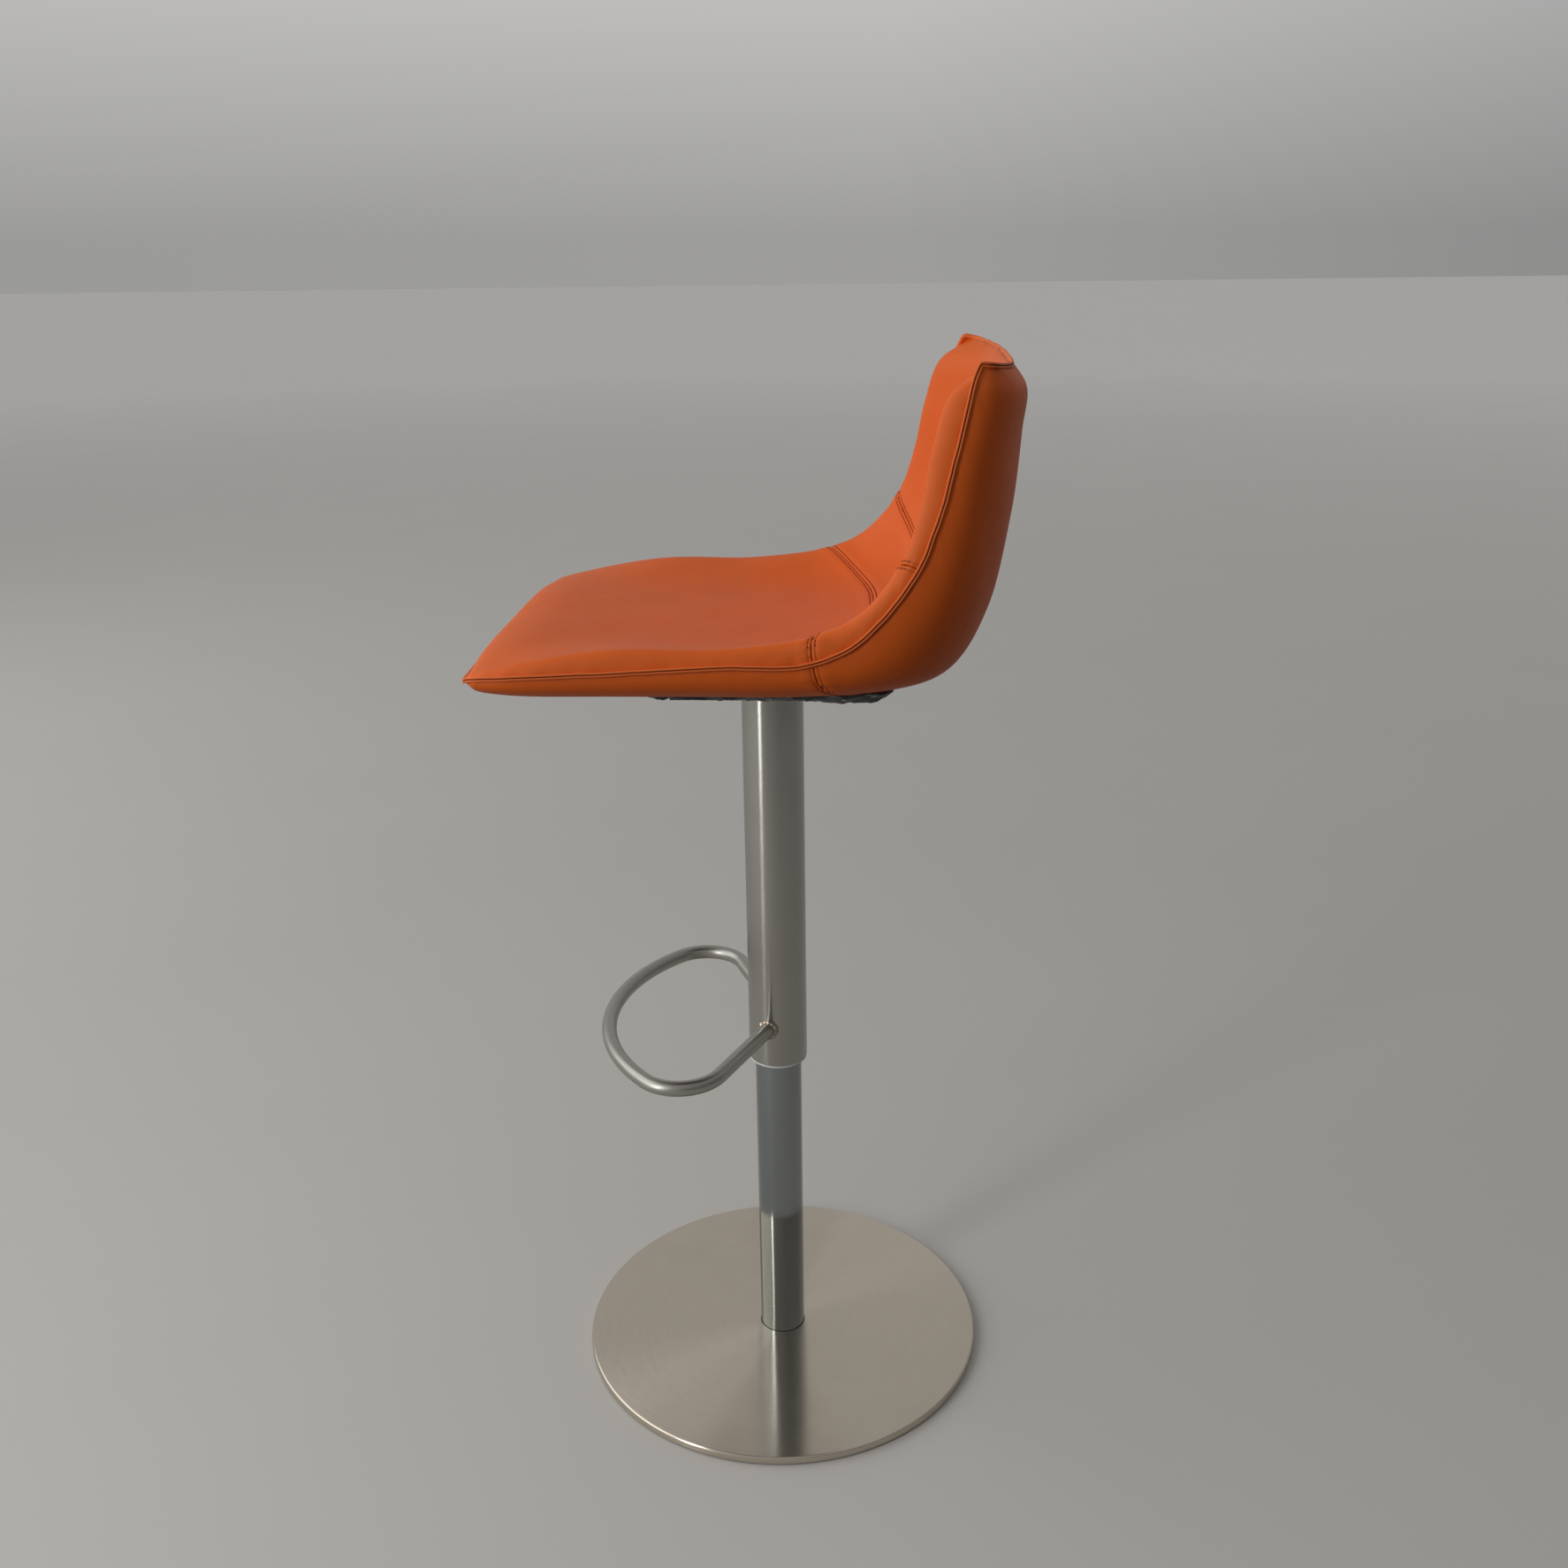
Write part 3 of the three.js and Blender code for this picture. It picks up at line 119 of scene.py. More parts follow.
class StoolSteelSizes(bpy.types.PropertyGroup):
    """Sizes of the footrest and its welds."""

    half_width: length(157, "Half width: middle plane to the footrest's widest point")
    reach: length(184, "Reach: column's axis to the footrest's nose")
    corner: length(46, "Corner radius: bend radius of the footrest's corners")
    setback: length(93, "Corner setback: corner centres forward of the column's axis")
    weld_setback: length(8.5, "Weld setback: where the legs meet the sleeve, forward of the axis")
    bead: length(2.9, "Weld bead: radius of the weld bead's section")
    edge: length(0.6, "Broken edge: radius of a turned or pressed edge")


class StoolColours(bpy.types.PropertyGroup):
    """Colours of the leather, thread, steel and plastics."""

    leather: colour("#DA601A", "Leather: tan orange of the upholstery")
    # Painted shade: the dark colour that the leather takes in its seams' grooves, along its stitch rows and at its
    # rims.
    leather_painted_shade: colour("#6A200E", "Leather, dark: leather in its creases")
    # Painted highlight: the welt is a little lighter than the leather, for the light along its lips.
    welt: colour("#DE6A2E", "Welt: rubbed edges of the welt")
    thread: colour("#6E1F10", "Thread: sewing thread")
    stainless: colour("#D2C8B8", "Stainless: brushed stainless steel")
    tube: colour("#A6A59E", "Tube: stainless steel of the sleeve and the footrest")
    polished: colour("#8F9495", "Polished: polished stainless tube")
    zinc: colour("#B4B7BA", "Zinc: zinc-plated fasteners")
    mill: colour("#8B8D90", "Mill steel: unfinished steel")
    black: colour("#1A1B1D", "Black: black plastic, coat and cloth")
    pale: colour("#C9C9C4", "Pale nylon: guide ring")
    ply: colour("#B98F5E", "Plywood: moulded plywood shell")
    foam: colour("#E8DCAE", "Foam: moulded seat foam")


class StoolStageSettings(bpy.types.PropertyGroup):
    """Camera, floor and lights."""

    camera_place: labelled("Camera: the camera's place", (1.5305, 0.1176, 1.2389), bpy.props.FloatVectorProperty,
                           size=3, subtype="TRANSLATION")
    heading: angle(94, "Heading: turn about Z")
    tilt: angle(19.91, "Tilt: downward tilt")
    roll: angle(-0.84, "Roll: roll about the view")
    sensor: labelled("Sensor: sensor width, also the focal length, in mm", 36)
    floor_size: length(60000, "Floor: side of the floor")
    floor_tone: colour("#C3C0BB", "Floor tone: pale floor")
    floor_far: colour("#EFEDEA", "Floor tone, far: pale floor towards the horizon")
    floor_bounce: colour("#4C4C4A", "Floor bounce: the floor as the stool's matt faces are lit by it")
    key_power: labelled("Key power: power of the large soft lamp, in watts", 62)
    strip_power: labelled("Strip power: power of the narrow lamp, in watts", 17)


# Meshes

def smoothstep(x):
    x = np.clip(x, 0, 1)
    return x * x * (3 - 2 * x)


def unit(vectors):
    return vectors / np.maximum(np.linalg.norm(vectors, axis=-1, keepdims=True), 1e-12)


def run_along(points, axis=0):
    """Distance along lines of points, each from its first point."""
    steps = np.linalg.norm(np.diff(points, axis=axis), axis=-1)
    start = np.zeros_like(np.take(steps, [0], axis=axis))
    return np.cumsum(np.concatenate([start, steps], axis=axis), axis=axis)


def loop_tangents(line):
    """Directions along a closed line of points."""
    return unit(np.roll(line, -1, axis=0) - np.roll(line, 1, axis=0))


def blurred(values, steps):
    """Smooths a closed row of values or vectors with a bell curve of the given width in steps."""
    reach = int(math.ceil(3 * steps))
    weights = np.exp(-0.5 * (np.arange(-reach, reach + 1) / steps) ** 2)
    total = sum(w * np.roll(values, k, axis=0) for k, w in zip(range(-reach, reach + 1), weights))
    return total / weights.sum()


def turned_out(points, faces):
    """Flips all faces of a closed mesh if its volume is negative, so that they point outwards."""
    p = np.asarray(points)
    fans = [(f[0], f[i], f[i + 1]) for f in faces for i in range(1, len(f) - 1)]
    a, b, c = (p[[t[k] for t in fans]] for k in range(3))
    volume = np.einsum("ij,ij->i", a, np.cross(b, c)).sum()
    return faces if volume > 0 else [tuple(reversed(f)) for f in faces]


def placed(name, data):
    """A new object at the origin, linked to the scene."""
    piece = bpy.data.objects.new(name, data)
    bpy.context.scene.collection.objects.link(piece)
    return piece


def mesh_piece(name, points, faces, smooth=True):
    """A new object with its place in its mesh."""
    mesh = bpy.data.meshes.new(name)
    mesh.from_pydata(np.asarray(points).reshape(-1, 3).tolist(), [], faces)
    mesh.polygons.foreach_set("use_smooth", [smooth] * len(mesh.polygons))
    mesh.update()
    return placed(name, mesh)


def set_values(piece, name, values):
    """Stores one number for each vertex, for a material to read."""
    layer = piece.data.attributes.new(name, "FLOAT", "POINT")
    layer.data.foreach_set("value", np.asarray(values, np.float32).ravel())


def evaluated_mesh(piece):
    """The mesh that a piece's modifiers make."""
    bpy.context.view_layer.update()
    return bpy.data.meshes.new_from_object(piece.evaluated_get(bpy.context.evaluated_depsgraph_get()))


def circle(sides, radius=1.0):
    angles = np.arange(sides) * FULL_TURN / sides
    return np.column_stack([np.cos(angles), np.sin(angles)]) * radius


def swept(name, path, side, up, section, closed):
    """A closed mesh: a section swept along a path. A section point is (along side, along up)."""
    section = np.array(section, float)
    rings, sides = len(path), len(section)
    side, up = (np.broadcast_to(rows, path.shape)[:, None, :] for rows in (side, up))
    points = path[:, None, :] + side * section[:, 0:1] + up * section[:, 1:2]
    faces = []
    for i in range(rings if closed else rings - 1):
        a, b = i * sides, ((i + 1) % rings) * sides
        faces += [(a + j, a + (j + 1) % sides, b + (j + 1) % sides, b + j) for j in range(sides)]
    if not closed:
        faces += [tuple(reversed(range(sides))), tuple(range((rings - 1) * sides, rings * sides))]
    points = points.reshape(-1, 3)
    return mesh_piece(name, points, turned_out(points, faces))


def lathe(name, profile, sides):
    """A closed ring turned about Z from a closed profile of (radius, height) points."""
    spokes = np.column_stack([circle(sides), np.zeros(sides)])
    piece = swept(name, np.zeros((sides, 3)), spokes, UP, profile, True)
    mark_sharp(piece, 40)
    return piece


def keep_crisp(bm, degrees):
    """Keeps edges sharper than the given angle crisp in smooth shading."""
    for edge in bm.edges:
        edge.smooth = edge.calc_face_angle(0) < math.radians(degrees)


def mark_sharp(piece, degrees):
    bm = bmesh.new()
    bm.from_mesh(piece.data)
    keep_crisp(bm, degrees)
    bm.to_mesh(piece.data)
    bm.free()


def arc(centre, radius, start, end, steps):
    """Points of an arc in a section plane. Angles are in degrees."""
    angles = np.radians(np.linspace(start, end, steps + 1))
    return [(centre[0] + radius * math.cos(a), centre[1] + radius * math.sin(a)) for a in angles]


def finished_copy(node, name, bevel=0.0, inset=0.0):
    """A copy of a plain part: flat faces joined and edges broken, or drawn in all round to lie clear of its cover."""
    bm = bmesh.new()
    bm.from_mesh(frame["nodes"][node].data)
    bmesh.ops.remove_doubles(bm, verts=bm.verts, dist=0.001 * MM)
    if bevel:
        bmesh.ops.dissolve_limit(bm, angle_limit=math.radians(1), verts=bm.verts, edges=bm.edges)
        sharp = [e for e in bm.edges if e.calc_face_angle(0) > math.radians(35)]
        bmesh.ops.bevel(bm, geom=sharp, offset=bevel, segments=2, profile=0.6, affect="EDGES", clamp_overlap=True)
    keep_crisp(bm, 40)
    for face in bm.faces:
        face.smooth = True
    if inset:
        bm.normal_update()
        for vertex, place in [(v, v.co - v.normal * inset) for v in bm.verts]:
            vertex.co = place
    mesh = bpy.data.meshes.new(name)
    bm.to_mesh(mesh)
    bm.free()
    return placed(name, mesh)


def settle(piece, body, slot, material, *nodes):
    """Gives a finished piece its material and its body, and hides the plain parts it stands for. The record slot is
    not used.
    """
    piece.data.materials.clear()
    piece.data.materials.append(material)
    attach(piece, body)
    if nodes:
        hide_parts(*nodes)


# The seat's surfaces

# Stations of the seat, from the front edge to the top edge, as shares of its depth along Y and its rise along Z.
# The columns are: middle of the inner face, crest of the side bolster, edge, middle of the outer face.
# The last two are the half width as a share, and how square the outer face's section is.
STATION_SHARES = np.array([
    [-0.5185, 0.106, -0.512, 0.104, -0.506, 0.1045, -0.5185, 0.0745, 0.925, 2.8],
    [-0.503, 0.143, -0.494, 0.127, -0.486, 0.1148, -0.499, 0.034, 0.968, 3],
    [-0.441, 0.17, -0.434, 0.153, -0.424, 0.1252, -0.441, 0.016, 1, 3.1],
    [-0.2611, 0.1585, -0.2611, 0.2023, -0.2573, 0.1411, -0.2611, 0.005, 1.009, 3],
    [-0.0677, 0.1456, -0.0677, 0.205, -0.0638, 0.16, -0.0677, 0, 1.009, 3],
    [0.0967, 0.1456, 0.0812, 0.2345, 0.0909, 0.1687, 0.0967, 0, 1.005, 3],
    [0.2128, 0.178, 0.1605, 0.285, 0.165, 0.2185, 0.234, 0.006, 0.995, 3],
    [0.294, 0.2556, 0.216, 0.37, 0.2237, 0.309, 0.347, 0.039, 0.981, 2.4],
    [0.3482, 0.4143, 0.2534, 0.4693, 0.2805, 0.4433, 0.414, 0.2233, 0.958, 2.3],
    [0.3752, 0.6084, 0.2795, 0.6116, 0.3144, 0.6019, 0.45, 0.5114, 0.92, 2.3],
    [0.3888, 0.7864, 0.2973, 0.7605, 0.3405, 0.7702, 0.4662, 0.7702, 0.885, 2.3],
    [0.4023, 0.9159, 0.327, 0.9029, 0.3607, 0.9224, 0.47, 0.88, 0.845, 2.4],
    [0.43, 0.9644, 0.4, 0.974, 0.3738, 0.979, 0.4455, 0.9434, 0.79, 2.4],
])
CREST_SHARE = 0.95
CREST_POWER = 3  # how late the inner face rises to the crest
LAST_STATION = len(STATION_SHARES) - 1
LOWER_SEAM = 5.12  # at the edges
UPPER_SEAM = 7.93
LOWER_SEAM_BOW = 0.74  # how far back the lower seam bows in the middle, in stations
LOWER_SEAM_POWER = 3  # how late the bow bends back towards the edges
UPPER_SEAM_BOW = 0.95
UPPER_SEAM_POWER = 4
BOW_FIRST, BOW_LAST = 3.5, 10.5
OPENING_SHARE = 0.721  # half width of the opening under the seat
OPENING_FRONT_SHARE = -0.2031
OPENING_BACK_SHARE = 0.2282
PANEL_POWER = 4.5
PANEL_RISE_STATION = 5.4


def rail(points):
    """A smooth line through the stations, read at any station number between them."""
    knots = np.array(points, float)
    whole = np.vstack([2 * knots[0] - knots[1], knots, 2 * knots[-1] - knots[-2]])
    steps = np.sum(np.diff(whole, axis=0) ** 2, axis=1) ** 0.25

    def at(rows):
        rows = np.asarray(rows, float)
        i = np.clip(np.floor(rows).astype(int), 0, LAST_STATION - 1)
        w = (rows - i)[..., None]
        p0, p1, p2, p3 = (whole[i + k] for k in range(4))
        d0, d1, d2 = (steps[i + k][..., None] for k in range(3))
        t1 = ((p1 - p0) / d0 - (p2 - p0) / (d0 + d1) + (p2 - p1) / d1) * d1
        t2 = ((p2 - p1) / d1 - (p3 - p1) / (d1 + d2) + (p3 - p2) / d2) * d1
        return p1 + t1 * w + (3 * (p2 - p1) - 2 * t1 - t2) * w ** 2 + (2 * (p1 - p2) + t1 + t2) * w ** 3

    return at


class SeatForm:
    """The seat's inner and outer faces as functions of station and share of the half width."""

    def __init__(self, sizes):
        self.sizes = sizes
        self.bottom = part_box("underside_panel")[0].z + sizes.panel_sheet
        scale = np.array([sizes.depth, sizes.rise])
        self.inner_rail, self.crest_rail, self.edge_rail, self.outer_rail = (
            rail(STATION_SHARES[:, k:k + 2] * scale / MM) for k in (0, 2, 4, 6)
        )
        numbered = np.column_stack([STATION_SHARES[:, 8:10], np.arange(LAST_STATION + 1)])
        self.width_rail = rail(numbered)

    def half_width(self, rows):
        return self.width_rail(rows)[..., 0] * self.sizes.half_width

    def placed(self, rows, u, yz):
        x = u * self.half_width(rows)
        return np.stack([x, yz[..., 0] * MM, yz[..., 1] * MM + self.bottom], axis=-1)

    def bowed(self, lines, u):
        """The stations that grid lines pass at shares of the half width, because they bow with the seams."""
        a = np.abs(u)
        middle = smoothstep((lines - LOWER_SEAM) / (UPPER_SEAM - LOWER_SEAM))
        lower = smoothstep((lines - BOW_FIRST) / (LOWER_SEAM - BOW_FIRST)) - middle
        upper = middle - smoothstep((lines - UPPER_SEAM) / (BOW_LAST - UPPER_SEAM))
        back = LOWER_SEAM_BOW * lower * (1 - a ** LOWER_SEAM_POWER)
        return lines + back - UPPER_SEAM_BOW * upper * (1 - a ** UPPER_SEAM_POWER)

    def inner(self, lines, u):
        rows = self.bowed(lines, u)
        a = np.abs(u)
        rise = smoothstep((a / CREST_SHARE) ** CREST_POWER)[..., None]
        over = np.clip((a - CREST_SHARE) / (1 - CREST_SHARE), 0, 1)
        fall = (1 - np.sqrt(1 - over ** 2))[..., None]
        crest = self.crest_rail(rows)
        middle = self.inner_rail(rows)
        return self.placed(rows, u, middle + (crest - middle) * rise + (self.edge_rail(rows) - crest) * fall)

    def section(self, rows, u, power):
        a = np.clip(np.abs(u), 0, 1)
        climb = (1 - (1 - a ** power) ** (1 / power))[..., None]
        outer = self.outer_rail(rows)
        return self.placed(rows, u, outer + (self.edge_rail(rows) - outer) * climb)

    def outer(self, lines, u):
        rows = self.bowed(lines, u)
        return self.section(rows, u, self.width_rail(rows)[..., 1])

    def row_at(self, y):
        """The station where the middle of the outer face lies at the given Y."""
        rows = np.linspace(0, 8, 400)
        return np.interp(y, self.outer_rail(rows)[:, 0] * MM, rows)


def ripple(a, b, wavelength, seed, count=6):
    """Smooth unevenness between -1 and 1 over two lengths, the same each time for a seed."""
    rng = np.random.default_rng(seed)
    total = np.zeros(np.broadcast(a, b).shape)
    for _ in range(count):
        heading = rng.uniform(0, FULL_TURN)
        turn = FULL_TURN / (wavelength * rng.uniform(0.7, 1.5))
        total += np.sin((a * math.cos(heading) + b * math.sin(heading)) * turn + rng.uniform(0, FULL_TURN))
    return total / count ** 0.5


COVER_COLUMNS = 190
# Distances in mm from a panel's end to its first grid lines, close enough for the seam and its stitches to show
END_STEPS = (0, 0.35, 0.7, 1.1, 1.6, 2.2, 2.7, 3.1, 3.5, 4.0, 4.8, 5.8, 7.2)


class CoverGrid:
    """A part of one face of the seat as a grid, with its normals and the distances along it."""

    def __init__(self, face, inside, first, last, pitch):
        sample = face(np.repeat(np.linspace(first, last, 30)[:, None], 2, axis=1), np.tile([0.0, 0.9], (30, 1)))
        lengths = np.linalg.norm(np.diff(sample, axis=0), axis=-1)
        plain = np.linspace(first, last, int(lengths.sum(axis=0).max() / pitch))
        near = np.array(END_STEPS) * MM * (last - first) / (len(sample) - 1)
        starts = first + near / lengths[0, 0]
        ends = last - near / lengths[-1, 0]
        lines = np.concatenate([starts, plain[(plain > starts[-1]) & (plain < ends[-1])], ends[::-1]])
        even = np.linspace(-1, 1, COVER_COLUMNS)
        shares = np.sign(even) * (1 - (1 - np.abs(even)) ** 1.7)  # closer together where the face turns
        self.rows, self.u = np.meshgrid(lines, shares, indexing="ij")
        self.points = face(self.rows, self.u)
        self.inside = inside
        self.along, self.sideways = run_along(self.points, 0), run_along(self.points, 1)

    def set_normals(self):
        normals = unit(np.cross(np.gradient(self.points, axis=1), np.gradient(self.points, axis=0)))
        self.normals = normals if self.inside else -normals

    def ends(self, free):
        """The end lines, 0 or -1, that lie on the seat's free edge, or else on a seam, and the distance from each."""
        for line in (0, -1):
            if (self.rows[line, 0] in (0, LAST_STATION)) == free:
                yield line, np.abs(self.along - self.along[line])


def grid_quads(rows, columns):
    """Quads of a grid of points, row by row."""
    index = np.arange(rows * columns).reshape(rows, columns)
    return np.stack([index[:-1, :-1], index[:-1, 1:], index[1:, 1:], index[1:, :-1]], axis=-1).reshape(-1, 4)


def shell(name, outer, inner, quads):
    """A closed shell: quads of the outer grid, the same quads of the inner one, and the walls round their borders."""
    edges = np.concatenate([quads[:, [k, (k + 1) % 4]] for k in range(4)])
    seen = set(map(tuple, edges.tolist()))
    offset = outer.size // 3
    walls = [(b, a, a + offset, b + offset) for a, b in seen if (b, a) not in seen]
    faces = quads.tolist() + (quads[:, ::-1] + offset).tolist() + walls
    return mesh_piece(name, np.vstack([outer.reshape(-1, 3), inner.reshape(-1, 3)]), faces)


def row_line(grid, distance, reach):
    """Points and normals on the grid at a distance along it, over the columns within reach of the middle."""
    values = np.concatenate([grid.points, grid.normals], axis=-1)
    line = []
    for j in np.flatnonzero(np.abs(grid.u[0]) <= reach):
        at = distance if distance >= 0 else grid.along[-1, j] + distance
        line.append([np.interp(at, grid.along[:, j], values[:, j, k]) for k in range(6)])
    line = np.array(line)
    return line[:, :3], unit(line[:, 3:])


def close_ends(grid, other):
    """Rolls a face in at the front and top edges, until the two faces nearly meet under the welt."""
    reach = 7 * MM
    left = 0.3  # share of the gap that the welt covers
    for line, distance in grid.ends(True):
        near = np.clip(1 - distance / reach, 0, 1)
        keep = left + (1 - left) * np.sqrt(1 - near ** 2)
        edge = (grid.points[line] - other(grid.rows[line], grid.u[line])) / 2
        grid.points = grid.points - edge * (1 - keep)[..., None]
    grid.set_normals()


def bell(distance, width):
    return np.exp(-(distance / width) ** 2)


# Gathers beside the seams, gathers round the seat's edge, and the padding's swell behind a row of stitches
SEAM_GATHER, SEAM_GATHER_REACH = 9 * MM, 7 * MM
EDGE_GATHER, EDGE_GATHER_REACH, EDGE_GATHER_SHARE = 24 * MM, 9 * MM, 0.8
SWELL, SWELL_PLACE, SWELL_REACH = 0.5 * MM, 9 * MM, 5 * MM
STITCH_DIP_REACH = 0.6 * MM
EDGE_DIP, EDGE_DIP_REACH = 0.35 * MM, 1.4 * MM
WAVE_LENGTH, WAVE_START = 110 * MM, 40 * MM  # broad waves, which only begin some way in from the edge
BOLSTER_START, BOLSTER_RISE = 0.86, 0.08  # shares of the half width where the gathers grow stronger


def sew(grid, s, seed):
    """Raises and lowers a cover's face: dips at its seams and edges, gathers beside them, and broad waves. It also
    marks painted shade along the seams, the stitch rows and the rims.
    """
    across, along = grid.sideways, grid.along
    depth, crease = np.zeros(along.shape), np.zeros(along.shape)
    bolster = 0.5 + 0.9 * smoothstep((np.abs(grid.u) - BOLSTER_START) / BOLSTER_RISE)
    for _, d in grid.ends(False):
        depth -= s.seam_depth * bell(d, s.seam_reach) + s.stitch_pull * bell(d - s.stitch_offset, STITCH_DIP_REACH)
        depth += SWELL * bell(d - SWELL_PLACE, SWELL_REACH)
        depth += s.pucker * bolster * ripple(across, 0 * along, SEAM_GATHER, seed) * np.exp(-d / SEAM_GATHER_REACH)
        # Painted shade: the leather is darkened along the seam's groove and along the stitch row's dip.
        crease = np.maximum(crease, 0.6 * bell(d, 0.45 * MM))
        crease = np.maximum(crease, 0.5 * bell(d - s.stitch_offset, 0.55 * MM))
    rim = np.minimum(across, across[:, -1:] - across)
    for _, d in grid.ends(True):
        rim = np.minimum(rim, d)
    gathers = EDGE_GATHER_SHARE * ripple(along, across, EDGE_GATHER, seed + 1) * np.exp(-rim / EDGE_GATHER_REACH)
    waves = ripple(across, along, WAVE_LENGTH, seed + 2) * smoothstep(rim / WAVE_START)
    depth += s.pucker * gathers + s.wave * waves - EDGE_DIP * bell(rim, EDGE_DIP_REACH)
    # Painted shade along the cover's rim, where it tucks under the welt.
    grid.crease = np.maximum(crease, 0.3 * bell(rim, 0.8 * MM))
    grid.points = grid.points + grid.normals * depth[..., None]
    grid.set_normals()
    for line, _ in grid.ends(False):
        neighbour = 1 if line == 0 else -2
        grid.points[line] += unit(grid.points[neighbour] - grid.points[line]) * s.seam_gap / 2


def cover_grids(form):
    """The five sewn panels that cover the seat."""
    parts = {
        "seat_panel": (True, 0, LOWER_SEAM, 11),
        "lumbar_panel": (True, LOWER_SEAM, UPPER_SEAM, 23),
        "back_panel": (True, UPPER_SEAM, LAST_STATION, 37),
        "outer_front": (False, 0, LOWER_SEAM, 41),
        "outer_back": (False, LOWER_SEAM, LAST_STATION, 59),
    }
    grids = {}
    for name, (inside, first, last, seed) in parts.items():
        face, other = (form.inner, form.outer) if inside else (form.outer, form.inner)
        grids[name] = CoverGrid(face, inside, first, last, form.sizes.grid)
        close_ends(grids[name], other)
        sew(grids[name], form.sizes, seed)
    return grids


def welt_frames(form):
    """The welt's centre line and its outward and crosswise directions, all round the seat's edge."""
    spacing, legs = 2.0 * MM, 400
    lean_angle = math.radians(38)  # how far the top edge's welt leans back
    wander = 0.3 * MM  # how far the seam strays from a fair line
    across = 1 - (1 - np.linspace(0, 1, legs)) ** 1.5

    def frames(place, gap, lean):
        """Rows of place, direction from the outer face to the inner one, and share of the lean."""
        return np.column_stack([place, unit(np.column_stack([np.zeros(len(gap)), gap])), lean])

    def end(station):
        r = np.full(legs, float(station))
        middle = (form.inner(r, across) + form.outer(r, across)) / 2
        return frames(middle, form.inner_rail(r) - form.outer_rail(r), r / LAST_STATION)

    rows = np.linspace(0, LAST_STATION, 3 * legs)
    side = frames(form.placed(rows, np.ones(rows.shape), form.edge_rail(rows)),
                  form.crest_rail(rows) - form.outer_rail(rows), 0 * rows)
    half = np.vstack([end(0)[:-1], side[:-1], end(LAST_STATION)[::-1]])
    whole = np.vstack([half, half[::-1] * [-1, 1, 1, -1, 1, 1, 1], half[:1]])
    run = run_along(whole[:, :3])
    at = np.linspace(0, run[-1], int(run[-1] / spacing), endpoint=False)
    whole = np.column_stack([np.interp(at, run, column) for column in whole.T])
    line, fibre = blurred(whole[:, :3], 1.1), unit(blurred(whole[:, 3:6], 4))
    angle = (blurred(whole[:, 6], 3) * lean_angle)[:, None]
    tangent = loop_tangents(line)
    outward = unit(np.cross(tangent, fibre))
    fibre = np.cross(outward, tangent)
    outward, fibre = outward * np.cos(angle) - fibre * np.sin(angle), fibre * np.cos(angle) + outward * np.sin(angle)
    run = np.arange(len(line)) * spacing
    stray = ripple(run, 0 * run, 60 * MM, 5) + 0.5 * ripple(run, 0 * run, 22 * MM, 6)
    line = line + fibre * (wander * stray * np.sin(np.linspace(0, math.pi, len(line))))[:, None]
    return line, outward, fibre


def make_welt(s, frames, material):
    """Two turned leather edges sewn back to back, with a groove between them that is darkened with painted shade."""
    low = arc((s.lip_rise, -s.lip_spread), s.lip, -90, 62, 8)
    high = arc((s.lip_rise, s.lip_spread), s.lip, -62, 90, 8)
    root = -2 * s.lip
    section = [(root, -s.lip_spread), *low, (s.lip_rise - s.lip, 0), *high, (root, s.lip_spread)]
    piece = swept("edge_welt", *frames, section, True)
    # Painted shade in the groove between the lips, read by the welt's leather.
    crease = np.exp(-(np.array(section)[:, 1] / (0.5 * MM)) ** 2)
    set_values(piece, "crease", np.tile(crease, len(frames[0])))
    settle(piece, "upper", "piping_leather", material, "edge_piping")


# Repeated things, grown along lines by node trees

class Nodes:
    """A node tree with short ways to add to it."""

    def __init__(self, tree):
        self.tree = tree

    def add(self, kind, inputs=None, **settings):
        """Adds one node with its settings, fills or links its inputs by name or number, and gives its outputs."""
        made = self.tree.nodes.new(kind)
        for key, value in settings.items():
            setattr(made, key, value)
        for key, value in (inputs or {}).items():
            if isinstance(value, bpy.types.NodeSocket):
                self.tree.links.new(value, made.inputs[key])
            else:
                made.inputs[key].default_value = value
        return made.outputs

    def maths(self, operation, first, second):
        return self.add("ShaderNodeMath", {0: first, 1: second}, operation=operation)[0]

    def vector(self, x, y, z):
        return self.add("ShaderNodeCombineXYZ", {0: x, 1: y, 2: z})[0]

    def place(self, scale=None):
        """Object coordinates, each axis multiplied if a pattern is to run longer one way."""
        place = self.add("ShaderNodeTexCoord")["Object"]
        return place if scale is None else self.add("ShaderNodeMapping", {"Vector": place, "Scale": scale})[0]

    def noise(self, size, detail=2.0, place=None, rough=0.5):
        """Noise whose features are about the given size in metres."""
        inputs = {"Vector": place or self.place(), "Scale": 1 / size, "Detail": detail, "Roughness": rough}
        return self.add("ShaderNodeTexNoise", inputs)["Fac"]

    def span(self, value, low, high, first=0.0, last=1.0):
        """Maps a value from the range first..last to low..high."""
        inputs = {"Value": value, "From Min": first, "From Max": last, "To Min": low, "To Max": high}
        return self.add("ShaderNodeMapRange", inputs)[0]

    def blend(self, factor, first, second):
        """Mixes two colours, each a socket or a plain red, green and blue."""
        ends = [c if isinstance(c, bpy.types.NodeSocket) else (*c, 1) for c in (first, second)]
        return self.add("ShaderNodeMix", {0: factor, 6: ends[0], 7: ends[1]}, data_type="RGBA")[2]


